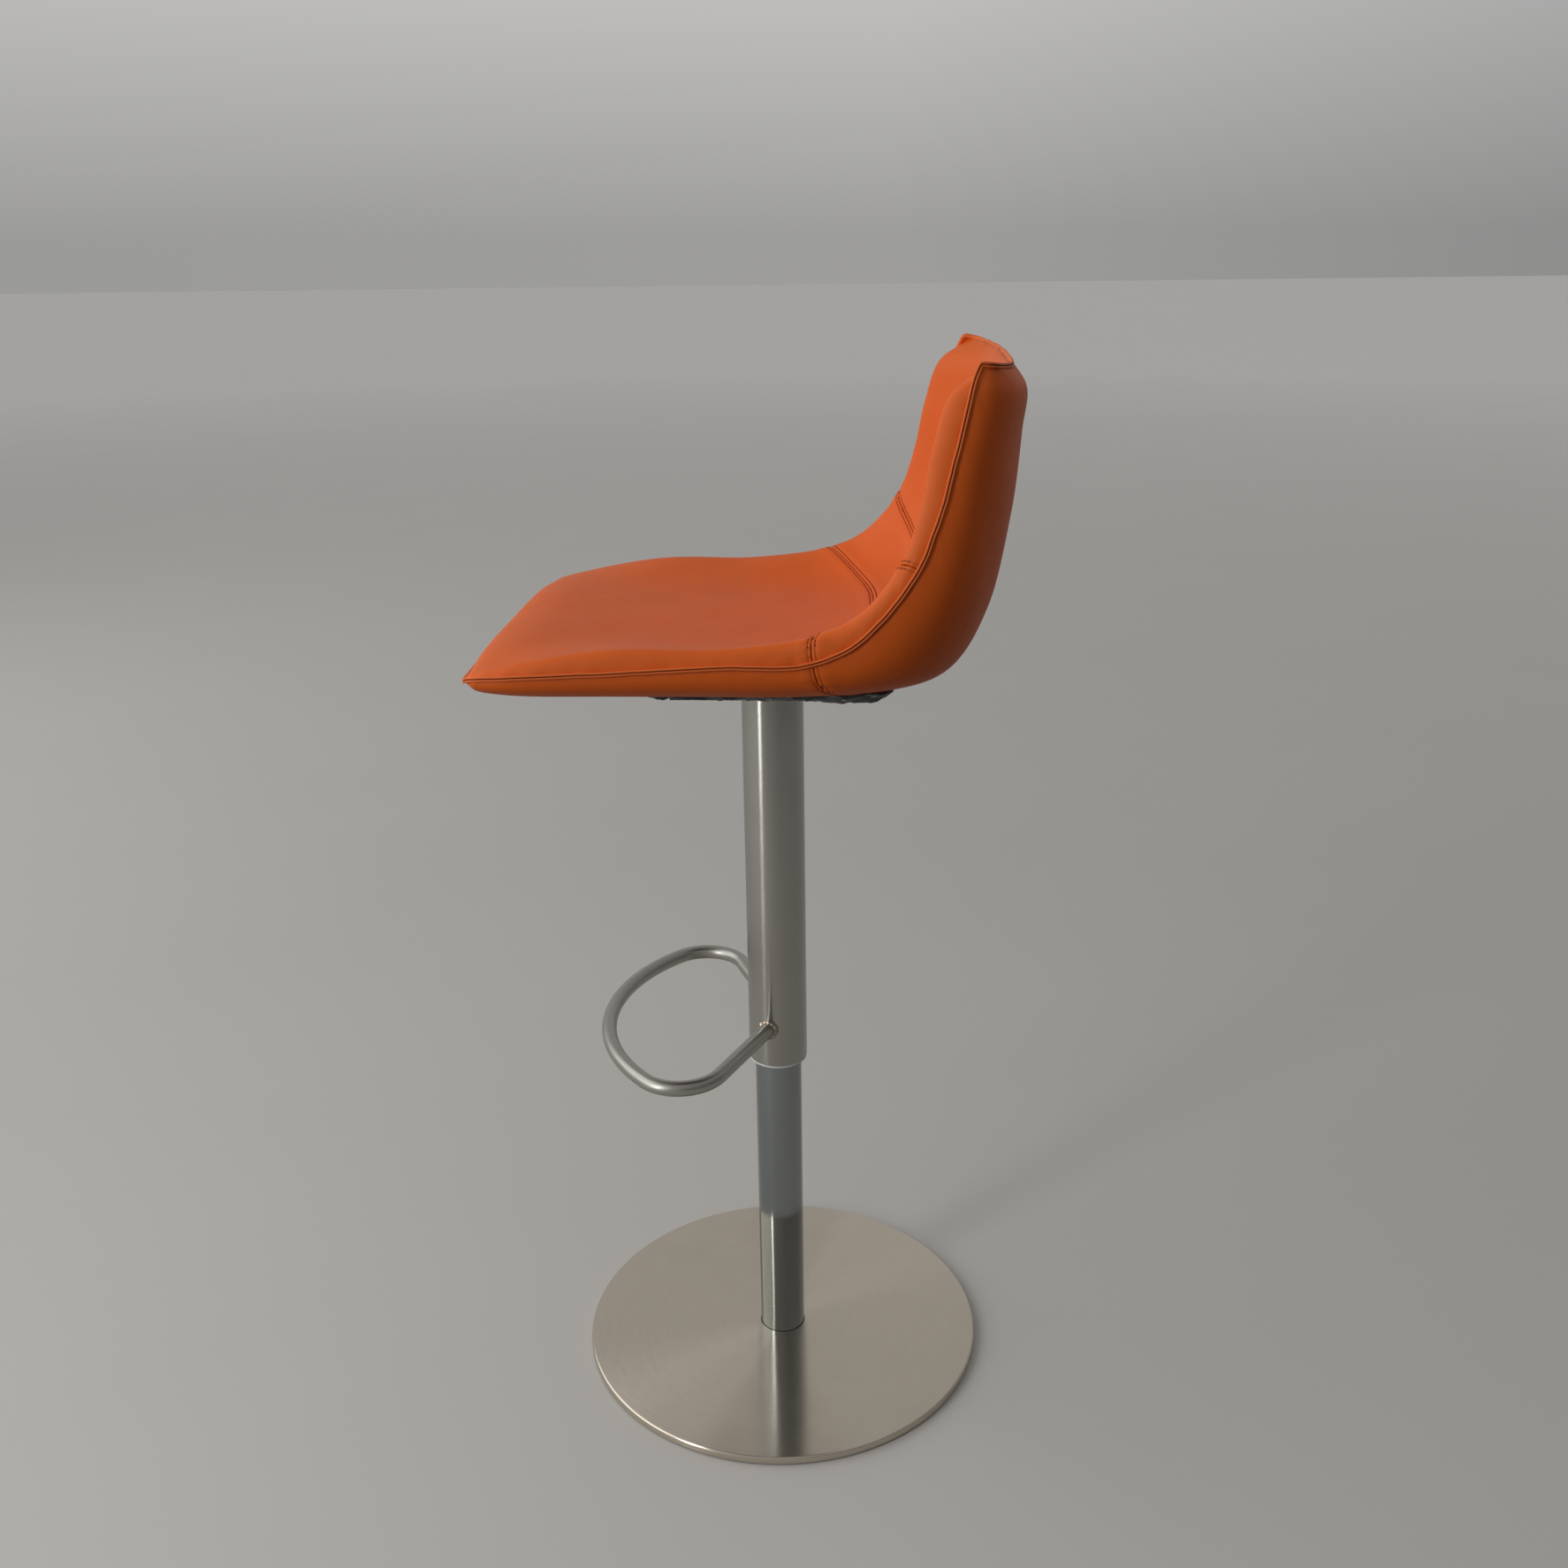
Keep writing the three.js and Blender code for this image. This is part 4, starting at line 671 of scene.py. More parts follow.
def along_lines_tree(name, sizes, material, shape):
    """A node tree that sets one small shape at each step along a mesh line, lying on the line's normal."""
    tree = bpy.data.node_groups.new(name, "GeometryNodeTree")
    tree.interface.new_socket("Line", in_out="INPUT", socket_type="NodeSocketGeometry")
    for label, value in sizes.items():
        socket = tree.interface.new_socket(label, in_out="INPUT", socket_type="NodeSocketFloat")
        socket.default_value = value
    seed = tree.interface.new_socket("Seed", in_out="INPUT", socket_type="NodeSocketInt")
    seed.default_value = 7
    tree.interface.new_socket("Shapes", in_out="OUTPUT", socket_type="NodeSocketGeometry")
    nodes = Nodes(tree)
    given = nodes.add("NodeGroupInput")
    curve = nodes.add("GeometryNodeMeshToCurve", {"Mesh": given["Line"]})[0]
    steps = nodes.add("GeometryNodeResampleCurve", {"Curve": curve, "Length": given["Pitch"]}, mode="LENGTH")[0]
    lie = nodes.add("GeometryNodeInputNamedAttribute", {"Name": "lie"}, data_type="FLOAT_VECTOR")["Attribute"]
    tangent = nodes.add("GeometryNodeInputTangent")[0]
    aim = "FunctionNodeAlignRotationToVector"
    turn = nodes.add(aim, {"Vector": tangent}, axis="X")[0]
    turn = nodes.add(aim, {"Rotation": turn, "Vector": lie}, axis="Z", pivot_axis="X")[0]
    jitter = nodes.add("FunctionNodeRandomValue",
                       {"Seed": given["Seed"], "Min": (-0.06, -0.04, -0.07), "Max": (0.06, 0.04, 0.07)},
                       data_type="FLOAT_VECTOR")["Value"]
    turn = nodes.add("FunctionNodeRotateRotation", {"Rotation": turn, "Rotate By": jitter}, rotation_space="LOCAL")[0]
    shapes = nodes.add("GeometryNodeInstanceOnPoints",
                       {"Points": steps, "Instance": shape(nodes, given), "Rotation": turn})[0]
    for kind, inputs in (("GeometryNodeRealizeInstances", {}), ("GeometryNodeSetShadeSmooth", {}),
                         ("GeometryNodeSetMaterial", {"Material": material})):
        shapes = nodes.add(kind, {"Geometry": shapes, **inputs})[0]
    nodes.add("NodeGroupOutput", {0: shapes})
    return tree


def stitch_shape(nodes, given):
    """One stitch: a short length of thread, thickest in the middle, half sunk in the leather."""
    ball = nodes.add("GeometryNodeMeshUVSphere", {"Segments": 8, "Rings": 7, "Radius": 1.0})["Mesh"]
    half = nodes.maths("MULTIPLY", given["Length"], 0.5)
    size = nodes.vector(half, given["Radius"], given["Radius"])
    lift = nodes.vector(0.0, 0.0, given["Lift"])
    return nodes.add("GeometryNodeTransform", {"Geometry": ball, "Translation": lift, "Scale": size})[0]


def staple_shape(nodes, given):
    """One staple: an arched wire whose legs go into the panel."""
    half, back = (nodes.maths("MULTIPLY", given["Length"], share) for share in (0.5, -0.5))
    sink = nodes.maths("MULTIPLY", given["Lift"], -3.0)
    spots = {"Start": (back, sink), "Start Handle": (back, given["Lift"]), "End Handle": (half, given["Lift"]),
             "End": (half, sink)}
    ends = {key: nodes.vector(x, 0.0, z) for key, (x, z) in spots.items()}
    wire = nodes.add("GeometryNodeCurvePrimitiveBezierSegment", {"Resolution": 10, **ends})[0]
    ring = nodes.add("GeometryNodeCurvePrimitiveCircle", {"Resolution": 6, "Radius": given["Radius"]})[0]
    return nodes.add("GeometryNodeCurveToMesh", {"Curve": wire, "Profile Curve": ring, "Fill Caps": True})[0]


def grow(name, lines, sizes, slot, material, shape):
    """Runs a node tree on lines of points and normals, and keeps its result as a plain mesh on the upper part."""
    mesh = bpy.data.meshes.new(f"{name}_line")
    edges, start = [], 0
    for points, _ in lines:
        edges += [(start + i, start + i + 1) for i in range(len(points) - 1)]
        start += len(points)
    mesh.from_pydata(np.vstack([p for p, _ in lines]).tolist(), edges, [])
    layer = mesh.attributes.new("lie", "FLOAT_VECTOR", "POINT")
    layer.data.foreach_set("vector", np.vstack([n for _, n in lines]).astype(np.float32).ravel())
    guide = placed(mesh.name, mesh)
    modifier = guide.modifiers.new(name, "NODES")
    modifier.node_group = along_lines_tree(name, sizes, material, shape)
    for item in modifier.node_group.interface.items_tree:
        if item.in_out == "INPUT" and item.name in sizes:
            modifier[item.identifier] = float(sizes[item.name])
    grown = evaluated_mesh(guide)
    bpy.data.objects.remove(guide)
    grown.name = name
    settle(placed(name, grown), "upper", slot, material)


def seam_lines(form, grids):
    """Rows of topstitching on both sides of each seam, and in the welt's groove."""
    s = form.sizes
    off = s.stitch_offset
    rows = [("seat_panel", -off), ("lumbar_panel", off), ("lumbar_panel", -off), ("back_panel", off)]
    lines = [row_line(grids[name], at, 0.985) for name, at in rows]
    points, normals = row_line(grids["outer_front"], -off, 0.975)
    low = np.abs(points[:, 0]) < OPENING_SHARE * s.half_width
    for part in (points[:, 0] > 0, points[:, 0] < 0):
        side = part & ~low
        lines.append((points[side], normals[side]))
    return lines


# Materials

def shaded(value, factor):
    return tuple(min(1, c * factor) for c in value)


class Paint(Nodes):
    """A material with one Principled shader, whose constants go on its own sockets."""

    def __init__(self, name, base, roughness, metallic=0.0, **sockets):
        self.material = bpy.data.materials.new(name)
        self.material.use_nodes = True
        super().__init__(self.material.node_tree)
        self.tree.nodes.clear()
        self.base = tuple(base)
        values = {"Base Color": (*self.base, 1), "Roughness": roughness, "Metallic": metallic}
        values.update({key.replace("_", " "): value for key, value in sockets.items()})
        surface = self.add("ShaderNodeBsdfPrincipled", values)[0]
        self.shader = surface.node
        self.add("ShaderNodeOutputMaterial", {"Surface": surface})

    def link(self, socket, value):
        self.tree.links.new(value, self.shader.inputs[socket])

    def tones(self, factor, low, high, share=1.0):
        """Blends two shades of the base colour by a share of a pattern."""
        return self.blend(self.span(factor, 0, share), shaded(self.base, low), shaded(self.base, high))

    def bumped(self, *layers):
        """Chains bumps of (height, distance in metres, strength) into the shader's normal. The paint is then ready."""
        last = {}
        for height, distance, strength in layers:
            last = {"Normal": self.add("ShaderNodeBump",
                                       {"Height": height, "Distance": distance, "Strength": strength, **last})[0]}
        self.link("Normal", last["Normal"])
        return self.material


def leather(name, base, dark):
    """Coated upholstery leather: even tan orange, semi-matt, a fine pebble grain, and painted shade in its seams'
    grooves, along its stitch rows and at its rims.
    """
    p = Paint(name, base, 0.56, IOR=1.45, Specular_IOR_Level=0.3)
    tone = p.tones(p.noise(60 * MM, 3), 0.92, 1.07)
    tone = p.blend(p.span(p.noise(2.2 * MM), 0, 0.16), tone, shaded(p.base, 0.8))
    # Painted shade: the leather darkens towards the dark colour where the mesh marks its grooves and rims.
    crease = p.add("ShaderNodeAttribute", attribute_name="crease")["Fac"]
    p.link("Base Color", p.blend(crease, tone, dark))
    p.link("Roughness", p.span(p.noise(9 * MM, 3), 0.5, 0.64))
    # The real pebble is about 0.6 mm across; it is drawn at 1.5 mm so that it shows.
    pebble = p.add("ShaderNodeTexVoronoi", {"Vector": p.place(), "Scale": 1 / (1.5 * MM)}, feature="SMOOTH_F1")[0]
    return p.bumped((pebble, 0.12 * MM, 0.35), (p.noise(5 * MM), 0.25 * MM, 0.3))


def sewing_thread(name, base):
    """Bonded polyester thread: dark red-brown, faintly glossy, with the twist of its plies."""
    p = Paint(name, base, 0.7, Specular_IOR_Level=0.2)
    twist = p.add("ShaderNodeTexWave", {"Vector": p.place(), "Scale": 1 / (1.1 * MM), "Distortion": 1.0},
                  bands_direction="DIAGONAL")["Fac"]
    p.link("Base Color", p.tones(twist, 0.7, 1.3))
    return p.bumped((twist, 0.1 * MM, 0.5))


def brushed_stainless(name, base, roughness, line):
    """Stainless steel brushed in rings: fine parallel scratches that draw reflections out across them."""
    p = Paint(name, base, roughness, 1.0, Anisotropic=1.0, Anisotropic_Rotation=0.25)
    p.link("Tangent", p.add("ShaderNodeTangent", direction_type="RADIAL", axis="Z")[0])
    x, y, z = p.add("ShaderNodeSeparateXYZ", {"Vector": p.place()})
    radius = p.add("ShaderNodeVectorMath", {0: p.vector(x, y, 0.0)}, operation="LENGTH")["Value"]
    rings = p.vector(radius, z, p.maths("MULTIPLY", p.maths("ARCTAN2", y, x), 0.004))
    scratch = p.noise(line, 3, rings, 0.7)
    smear = p.noise(45 * MM, 3)
    p.link("Base Color", p.blend(p.span(smear, 0, 0.22), p.tones(scratch, 0.86, 1.1), shaded(p.base, 0.84)))
    p.link("Roughness", p.span(p.maths("MULTIPLY", scratch, smear), roughness * 0.8, roughness * 1.5))
    return p.bumped((scratch, 0.06 * MM, 0.8))


def satin_tube(name, base):
    """Stainless tube of the footrest: ground along its length, satin, with faint dull patches at the bends."""
    p = Paint(name, base, 0.3, 1.0)
    uv = p.add("ShaderNodeUVMap", uv_map="along")[0]
    fine = p.add("ShaderNodeMapping", {"Vector": uv, "Scale": (90, 1400, 1)})[0]
    scratch = p.noise(1.0, 3, fine)
    p.link("Base Color", p.tones(scratch, 0.84, 1.12))
    p.link("Roughness", p.span(p.noise(28 * MM, 3), 0.28, 0.44))
    return p.bumped((scratch, 0.02 * MM, 0.3))


def polished_tube(name, base):
    """Mirror-polished stainless tube: nearly flawless, with a faint haze and hair scratches."""
    p = Paint(name, base, 0.06, 1.0)
    hairs = p.noise(1.0, 2, p.place((1250, 1250, 1000 / 60)))
    p.link("Base Color", p.tones(hairs, 1, 0.9, 0.5))
    p.link("Roughness", p.span(p.noise(30 * MM, 3), 0.04, 0.12))
    return p.bumped((hairs, 0.01 * MM, 0.1))


def weld_metal(name, base):
    """Weld bead on stainless: overlapping ripples, straw and blue heat tint at its edge."""
    p = Paint(name, base, 0.3, 1.0)
    warm = p.blend(p.span(p.noise(4 * MM), 0, 1), linear("#8E8A84"), linear("#B7A88F"))
    p.link("Base Color", p.blend(p.span(p.noise(7 * MM, 1), -0.4, 0.6), warm, linear("#5C6068")))
    return p.bumped((p.noise(1.2 * MM, 3), 0.2 * MM, 0.6))


def uneven(name, base, roughness, cloud, tones, sheen, grain, height, strength=0.5, **sockets):
    """A cloudy tone and sheen over a fine all-over grain, for plain steel, black coats, mouldings and rubber."""
    p = Paint(name, base, roughness, **sockets)
    patches = p.noise(*cloud)
    p.link("Base Color", p.tones(patches, *tones))
    p.link("Roughness", p.span(patches, *(min(1, roughness * share) for share in sheen)))
    return p.bumped((p.noise(grain), height, strength))


def plain_metal(name, base, roughness, size):
    """Machined or plated steel: grey, slightly uneven sheen."""
    return uneven(name, base, roughness, (size, 4), (0.8, 1.12), (0.7, 1.4), size / 4, 0.05 * MM, 0.3, metallic=1.0)


def coated(name, base, roughness, size, height):
    """A black coat, moulding or rubber: matt, with a fine all-over texture."""
    return uneven(name, base, roughness, (12 * size, 3), (0.75, 1.5), (0.85, 1.15), size, height, IOR=1.5)


def dust_cover_cloth(name, base):
    """Spun-bonded polypropylene cloth: black, matt, pressed with a grid of small bond points."""
    p = Paint(name, base, 0.85, IOR=1.49, Sheen_Weight=0.25)
    points = p.add("ShaderNodeTexVoronoi", {"Vector": p.place(), "Scale": 1 / (2.4 * MM), "Randomness": 0.25})[0]
    fibres = p.noise(1.2 * MM, 4, None, 0.7)
    p.link("Base Color", p.tones(fibres, 0.6, 1.9))
    return p.bumped((points, 0.25 * MM, 0.6), (fibres, 0.15 * MM, 0.5))


def moulded_ply(name, base):
    """Rotary-cut birch plywood: pale brown, with long soft figure."""
    p = Paint(name, base, 0.6, IOR=1.5)
    figure = p.noise(1.0, 5, p.place((1000 / 14, 1000 / 140, 1000 / 60)))
    p.link("Base Color", p.tones(figure, 0.7, 1.2))
    return p.bumped((figure, 0.1 * MM, 0.4))


def moulded_foam(name, base):
    """Cold-cure polyurethane foam: cream, matt, open cells with a moulded skin."""
    p = Paint(name, base, 0.95, IOR=1.4)
    cells = p.add("ShaderNodeTexVoronoi", {"Vector": p.place(), "Scale": 1 / (2 * MM)})[0]
    p.link("Base Color", p.tones(cells, 0.75, 1))
    return p.bumped((cells, 0.5 * MM, 0.6))


def floor_paint(stage):
    """Plain pale floor: matt paint, paler far off, with the faintest mottle. Its bounce is that of a grey floor."""
    p = Paint("floor_paint", stage.floor_tone, 0.7, IOR=1.45)
    away = p.add("ShaderNodeVectorMath", {0: p.place()}, operation="LENGTH")["Value"]
    pale = p.blend(p.span(away, 0, 1, 1.5, 12), stage.floor_tone, stage.floor_far)
    pale = p.blend(p.span(p.noise(0.35, 3), 0, 0.04), pale, stage.floor_bounce)
    rays = p.add("ShaderNodeLightPath")
    seen = p.maths("MAXIMUM", rays["Is Camera Ray"], rays["Is Glossy Ray"])
    seen = p.maths("MAXIMUM", seen, rays["Is Transmission Ray"])
    p.link("Base Color", p.blend(seen, stage.floor_bounce, pale))
    return p.bumped((p.noise(6 * MM, 3), 0.15 * MM, 0.2))


def palette():
    """All finishes of the stool by name. Each is made the first time it is asked for."""
    c = bpy.context.scene.stool_colours
    recipes = {
        "leather": (leather, "tan_leather", c.leather, c.leather_painted_shade),
        # The welt's lighter colour is a painted highlight on its lips, and #5A140A is the painted shade in its groove.
        "welt": (leather, "welt_leather", c.welt, linear("#5A140A")),
        "thread": (sewing_thread, "sewing_thread", c.thread),
        "disc": (brushed_stainless, "disc_stainless", c.stainless, 0.22, 0.5 * MM),
        "sleeve": (brushed_stainless, "sleeve_stainless", c.tube, 0.22, 0.6 * MM),
        "satin": (satin_tube, "satin_tube", c.tube),
        "polished": (polished_tube, "polished_tube", c.polished),
        "weld": (weld_metal, "weld_metal", shaded(c.stainless, 0.7)),
        "zinc": (plain_metal, "zinc_plate", c.zinc, 0.32, 5 * MM),
        "mill": (plain_metal, "mill_steel", c.mill, 0.42, 14 * MM),
        "coat": (coated, "powder_coat", c.black, 0.45, 0.8 * MM, 0.1 * MM),
        "nylon": (coated, "black_nylon", c.black, 0.5, 0.6 * MM, 0.06 * MM),
        "rubber": (coated, "black_rubber", shaded(c.black, 0.8), 0.85, 1.2 * MM, 0.15 * MM),
        "pale": (coated, "pale_nylon", c.pale, 0.4, 0.8 * MM, 0.04 * MM),
        "cloth": (dust_cover_cloth, "dust_cover_cloth", c.black),
        "ply": (moulded_ply, "moulded_ply", c.ply),
        "foam": (moulded_foam, "moulded_foam", c.foam),
    }
    return {key: bpy.data.materials.get(name) or make(name, *rest) for key, (make, name, *rest) in recipes.items()}


# Seat

def make_covers(form, grids, material):
    """Turns the sewn grids into leather skins, with the opening under the seat left out of the outer ones."""
    for name, grid in grids.items():
        quads = grid_quads(*grid.rows.shape)
        if not grid.inside:
            quads = quads[~over_opening(grid, form.sizes), ::-1]
        piece = shell(f"{name}_leather", grid.points, grid.points - grid.normals * form.sizes.skin, quads)
        # Stores the painted shade of the seams, stitch rows and rims for the leather to read.
        set_values(piece, "crease", np.tile(grid.crease.ravel(), 2))
        node = f"{name}_cover" if grid.inside else name.replace("outer", "outer_cover")
        settle(piece, "upper", "seat_leather", material, node)


def over_opening(grid, sizes):
    """Which quads of an outer cover lie over the opening in its underside."""
    middle = (grid.points[:-1, :-1] + grid.points[1:, 1:]) / 2
    front, back = OPENING_FRONT_SHARE * sizes.depth, OPENING_BACK_SHARE * sizes.depth
    low = middle[..., 2] < grid.points[..., 2].min() + sizes.rise / 8
    across = np.abs(middle[..., 0]) < OPENING_SHARE * sizes.half_width
    return (low & across & (middle[..., 1] > front) & (middle[..., 1] < back)).ravel()


def panel_grid(form):
    """The underside panel's face, the cover's face over it, and the shares of the half width across it.

    The face is a rectangle with round corners. It hangs flatter than the cover and rises to it at the rear.
    """
    low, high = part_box("underside_panel")
    corner = 30 * MM
    y = np.linspace(low.y, high.y, 120)
    inset = np.maximum(0, np.maximum(low.y + corner - y, y - high.y + corner))
    ears = 17 * MM * smoothstep((y - 35 * MM) / (30 * MM))
    half = high.x + ears - corner + np.sqrt(np.maximum(corner ** 2 - inset ** 2, 0))
    across = np.linspace(-1, 1, 150)
    rows = np.repeat(form.row_at(y)[:, None], len(across), axis=1)
    u = half[:, None] / form.half_width(rows) * across[None, :]
    cover_power = form.width_rail(rows)[..., 1]
    face = form.section(rows, u, PANEL_POWER + (cover_power - PANEL_POWER) * smoothstep(rows - PANEL_RISE_STATION))
    return face - [0, 0, form.sizes.panel_sheet], form.section(rows, u, cover_power) - [0, 0, 0.25 * MM], across


def make_underside(form, material):
    """Black cloth stretched under the seat over the folded leather, uneven where it covers the folds."""
    fold, fine_fold, fold_height = 26 * MM, 11 * MM, 0.9 * MM
    tucked, clear_of_leather = 2.2 * MM, 0.5 * MM  # the cloth under the leather at its border, at least
    face, roof, across = panel_grid(form)
    a = np.abs(across)[None, :]
    x, y, z = (face[..., k] for k in range(3))
    top = roof[..., 2]
    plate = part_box("seat_plate")[1]
    clear = np.maximum(smoothstep((np.abs(x) - plate.x) / (30 * MM)),
                       smoothstep((np.abs(y) - plate.y + 6 * MM) / (18 * MM)))
    folds = ripple(x, y, fold, 71) + 0.6 * ripple(x, y, fine_fold, 72)
    ridge = smoothstep((a - 0.8) / 0.12)
    ridge = ridge + smoothstep((y - 85 * MM) / (22 * MM)) + smoothstep((-88 * MM - y) / (14 * MM))
    z += (top - tucked - z) * smoothstep((a - 0.86) / 0.12)
    z -= clear * (fold_height * folds + 0.5 * MM) * np.clip(0.35 + ridge, 0, 1.4)
    z[:] = np.minimum(z, top - 1.0 * MM)
    z += 1.2 * MM * (1 - np.sqrt(1 - np.clip((a - 0.975) / 0.025, 0, 1) ** 2))  # the round edge
    z[:] = np.minimum(z, top - clear_of_leather)
    piece = shell("underside_cloth", face, roof, grid_quads(*x.shape)[:, ::-1])
    mark_sharp(piece, 60)
    settle(piece, "upper", "black_fabric", material, "underside_panel")
    return face


def staple_lines(face):
    """Lines near the panel's border that its staples follow, with the direction that they face."""
    inset = 9
    borders = [face[inset:-inset, 5], face[inset:-inset, -6], face[4, inset:-inset], face[-5, inset:-inset]]
    return [(line, np.tile(-UP, (len(line), 1))) for line in borders]


# Steel

def footrest_plan(s, sleeve_radius):
    """Corner centre, weld point, and the arcs of the footrest's plan, all tangent."""
    corner = np.array([s.half_width - s.corner, -s.setback])
    weld = np.array([math.sqrt(sleeve_radius ** 2 - s.weld_setback ** 2), -s.weld_setback])
    to_corner = corner - weld
    touch = math.atan2(-to_corner[1], -to_corner[0]) - math.acos(s.corner / np.linalg.norm(to_corner))
    start = corner + s.corner * np.array([math.cos(touch), math.sin(touch)])
    reach = s.reach + corner[1]
    nose = (corner[0] ** 2 + reach ** 2 - s.corner ** 2) / (2 * (reach - s.corner))
    return corner, weld, touch, start, nose


def footrest_line(s, sleeve_radius, z):
    """The footrest tube's centre line from one weld round to the other."""
    corner, weld, touch, start, nose = footrest_plan(s, sleeve_radius)
    nose_y = nose - s.reach
    split = math.atan2(corner[1] - nose_y, corner[0])
    leg = np.linspace(weld + unit(weld - start) * 4 * MM, start, 24)[:-1]
    right = arc(corner, s.corner, math.degrees(touch), math.degrees(split), 35)[:-1]
    front = arc((0, nose_y), nose, math.degrees(split), -90, 39)
    half = np.vstack([leg, right, front])
    plan = np.vstack([half, half[-2::-1] * np.array([-1, 1])])
    return np.column_stack([plan, np.full(len(plan), z)])


def make_footrest(s, materials):
    """One bent tube, welded to the sleeve at both ends."""
    low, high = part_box("footrest_loop")
    sleeve_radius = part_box("sleeve_tube")[1].x
    tube, z = (high.z - low.z) / 2, (high.z + low.z) / 2
    line = footrest_line(s, sleeve_radius, z)
    sides = 32
    side = np.cross(unit(np.gradient(line, axis=0)), UP)
    piece = swept("footrest_tube", line, side, UP, circle(sides, tube), False)
    set_along_uv(piece, line, sides)
    settle(piece, "upper", "brushed_stainless", materials["satin"], "footrest_loop")
    for sign, name in ((1, "left"), (-1, "right")):
        make_bead(s, sleeve_radius, z, tube, sign, name, materials["weld"])


def set_along_uv(piece, line, sides):
    """A UV map that runs along the tube in metres and once round it."""
    index = np.zeros(len(piece.data.loops), int)
    piece.data.loops.foreach_get("vertex_index", index)
    uv = np.column_stack([run_along(line)[index // sides], (index % sides) / sides * 50 * MM])
    piece.data.uv_layers.new(name="along").data.foreach_set("uv", uv.astype(np.float32).ravel())


def make_bead(s, sleeve_radius, z, tube, sign, name, material):
    """A weld bead of overlapping ripples round the joint of one leg and the sleeve."""
    _, weld, _, start, _ = footrest_plan(s, sleeve_radius)
    axis = unit(start - weld)
    across = np.array([-axis[1], axis[0]])
    steps, ripples = 160, 11
    angles = np.arange(steps) * FULL_TURN / steps
    foot = weld + across * tube * np.cos(angles)[:, None]
    along = foot @ axis
    hit = np.sqrt(np.maximum(along ** 2 - np.sum(foot ** 2, axis=1) + sleeve_radius ** 2, 0)) - along
    ring = np.column_stack([foot + axis * hit[:, None], z + tube * np.sin(angles)])
    out = unit(ring * [1, 1, 0])
    up = unit(np.cross(loop_tangents(ring), out))
    up = np.where(np.einsum("ij,ij->i", up, ring - ring.mean(axis=0))[:, None] < 0, -up, up)
    swell, wander, spread = 0.25, 0.2, 0.05  # of the ripples, of the welder's hand and of each ripple's size
    lumps = 1 + swell * np.abs(np.sin(angles * ripples / 2)) + wander * ripple(angles, 0 * angles, 1.4, 8 + sign)
    rng = np.random.default_rng(3 if sign > 0 else 4)
    lumps *= 1 + spread * rng.standard_normal(ripples)[(angles / FULL_TURN * ripples).astype(int)]
    ring, out, up = (rows * [sign, 1, 1] for rows in (ring, out * lumps[:, None], up * lumps[:, None]))
    piece = swept(f"weld_bead_{name}", ring, out, up, circle(12, s.bead), True)
    settle(piece, "upper", "weld", material, f"footrest_weld_{name}")


def outer_side(radius, low, high, edge):
    """The outer side of a ring's section, with its two edges rounded."""
    middle = radius - edge
    return arc((middle, low + edge), edge, -90, 0, 4) + arc((middle, high - edge), edge, 0, 90, 4)


def ring_profile(inner, outer, low, high, edge):
    """A closed tube section whose outer edges are rounded and inner edges broken."""
    bevel = edge / 2
    foot, head = [(inner, low + bevel), (inner + bevel, low)], [(inner + bevel, high), (inner, high - bevel)]
    return foot + outer_side(outer, low, high, edge) + head


def make_disc(materials):
    """Pressed disc cover of the base, with a rounded rim turned down over the weight."""
    low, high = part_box("base_cover")
    outer, top = high.x, high.z
    sheet, bend, step, lip = 1.2 * MM, 2.5 * MM, 0.8 * MM, 0.25 * MM
    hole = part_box("lower_column")[1].x + 0.3 * MM
    inner = outer - sheet
    profile = (
        [(hole, top - sheet), (inner - step, top - sheet), (inner, top - sheet - step)]
        + [(inner, low.z), (outer - lip, low.z), (outer, low.z + lip)]
        + arc((outer - bend, top - bend), bend, 0, 90, 8)
        + [(outer * share, top) for share in (0.75, 0.5, 0.25)]
        + [(hole + 0.3 * MM, top), (hole, top - 0.3 * MM)]
    )
    settle(lathe("base_disc", profile, 256), "base", "brushed_stainless", materials["disc"], "base_cover")


def make_tubes(s, materials):
    """The polished lower column, the brushed sleeve and the pale ring under it."""
    edge = s.edge
    low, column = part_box("lower_column")
    piece = lathe("lower_column_tube", ring_profile(column.x - 2 * MM, column.x, low.z, column.z, edge), 160)
    settle(piece, "base", "polished_stainless", materials["polished"], "lower_column")
    mouth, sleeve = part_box("sleeve_tube")
    piece = lathe("sleeve", ring_profile(sleeve.x - 1.5 * MM, sleeve.x, mouth.z, sleeve.z, edge), 160)
    drill_sleeve(piece)
    settle(piece, "upper", "brushed_stainless", materials["sleeve"], "sleeve_tube")
    low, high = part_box("sleeve_guide_ring")
    bore, body, lip_top = column.x + 0.4 * MM, sleeve.x - 1.8 * MM, mouth.z - 0.3 * MM
    profile = (
        [(bore, low.z + edge), (bore + edge, low.z)]
        + outer_side(high.x, low.z, lip_top, edge)
        + [(body, lip_top), (body, high.z), (bore, high.z)]
    )
    settle(lathe("sleeve_ring", profile, 128), "upper", "pale_nylon", materials["pale"], "sleeve_guide_ring")


def drill_sleeve(sleeve):
    """Cuts the holes of the sleeve's set screws, through one wall each."""
    for number in (1, 2):
        low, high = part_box(f"sleeve_screw_{number}")
        centre = (low + high) / 2
        heading = math.atan2(centre.y, centre.x)
        bpy.ops.mesh.primitive_cylinder_add(vertices=32, radius=2.8 * MM, depth=24 * MM, location=centre,
                                            rotation=(0, math.pi / 2, heading))
        hole = sleeve.modifiers.new("hole", "BOOLEAN")
        hole.object = tool = bpy.context.object
        hole.solver = "EXACT"
        cut = evaluated_mesh(sleeve)
        sleeve.modifiers.clear()
        sleeve.data = cut
        bpy.data.objects.remove(tool)


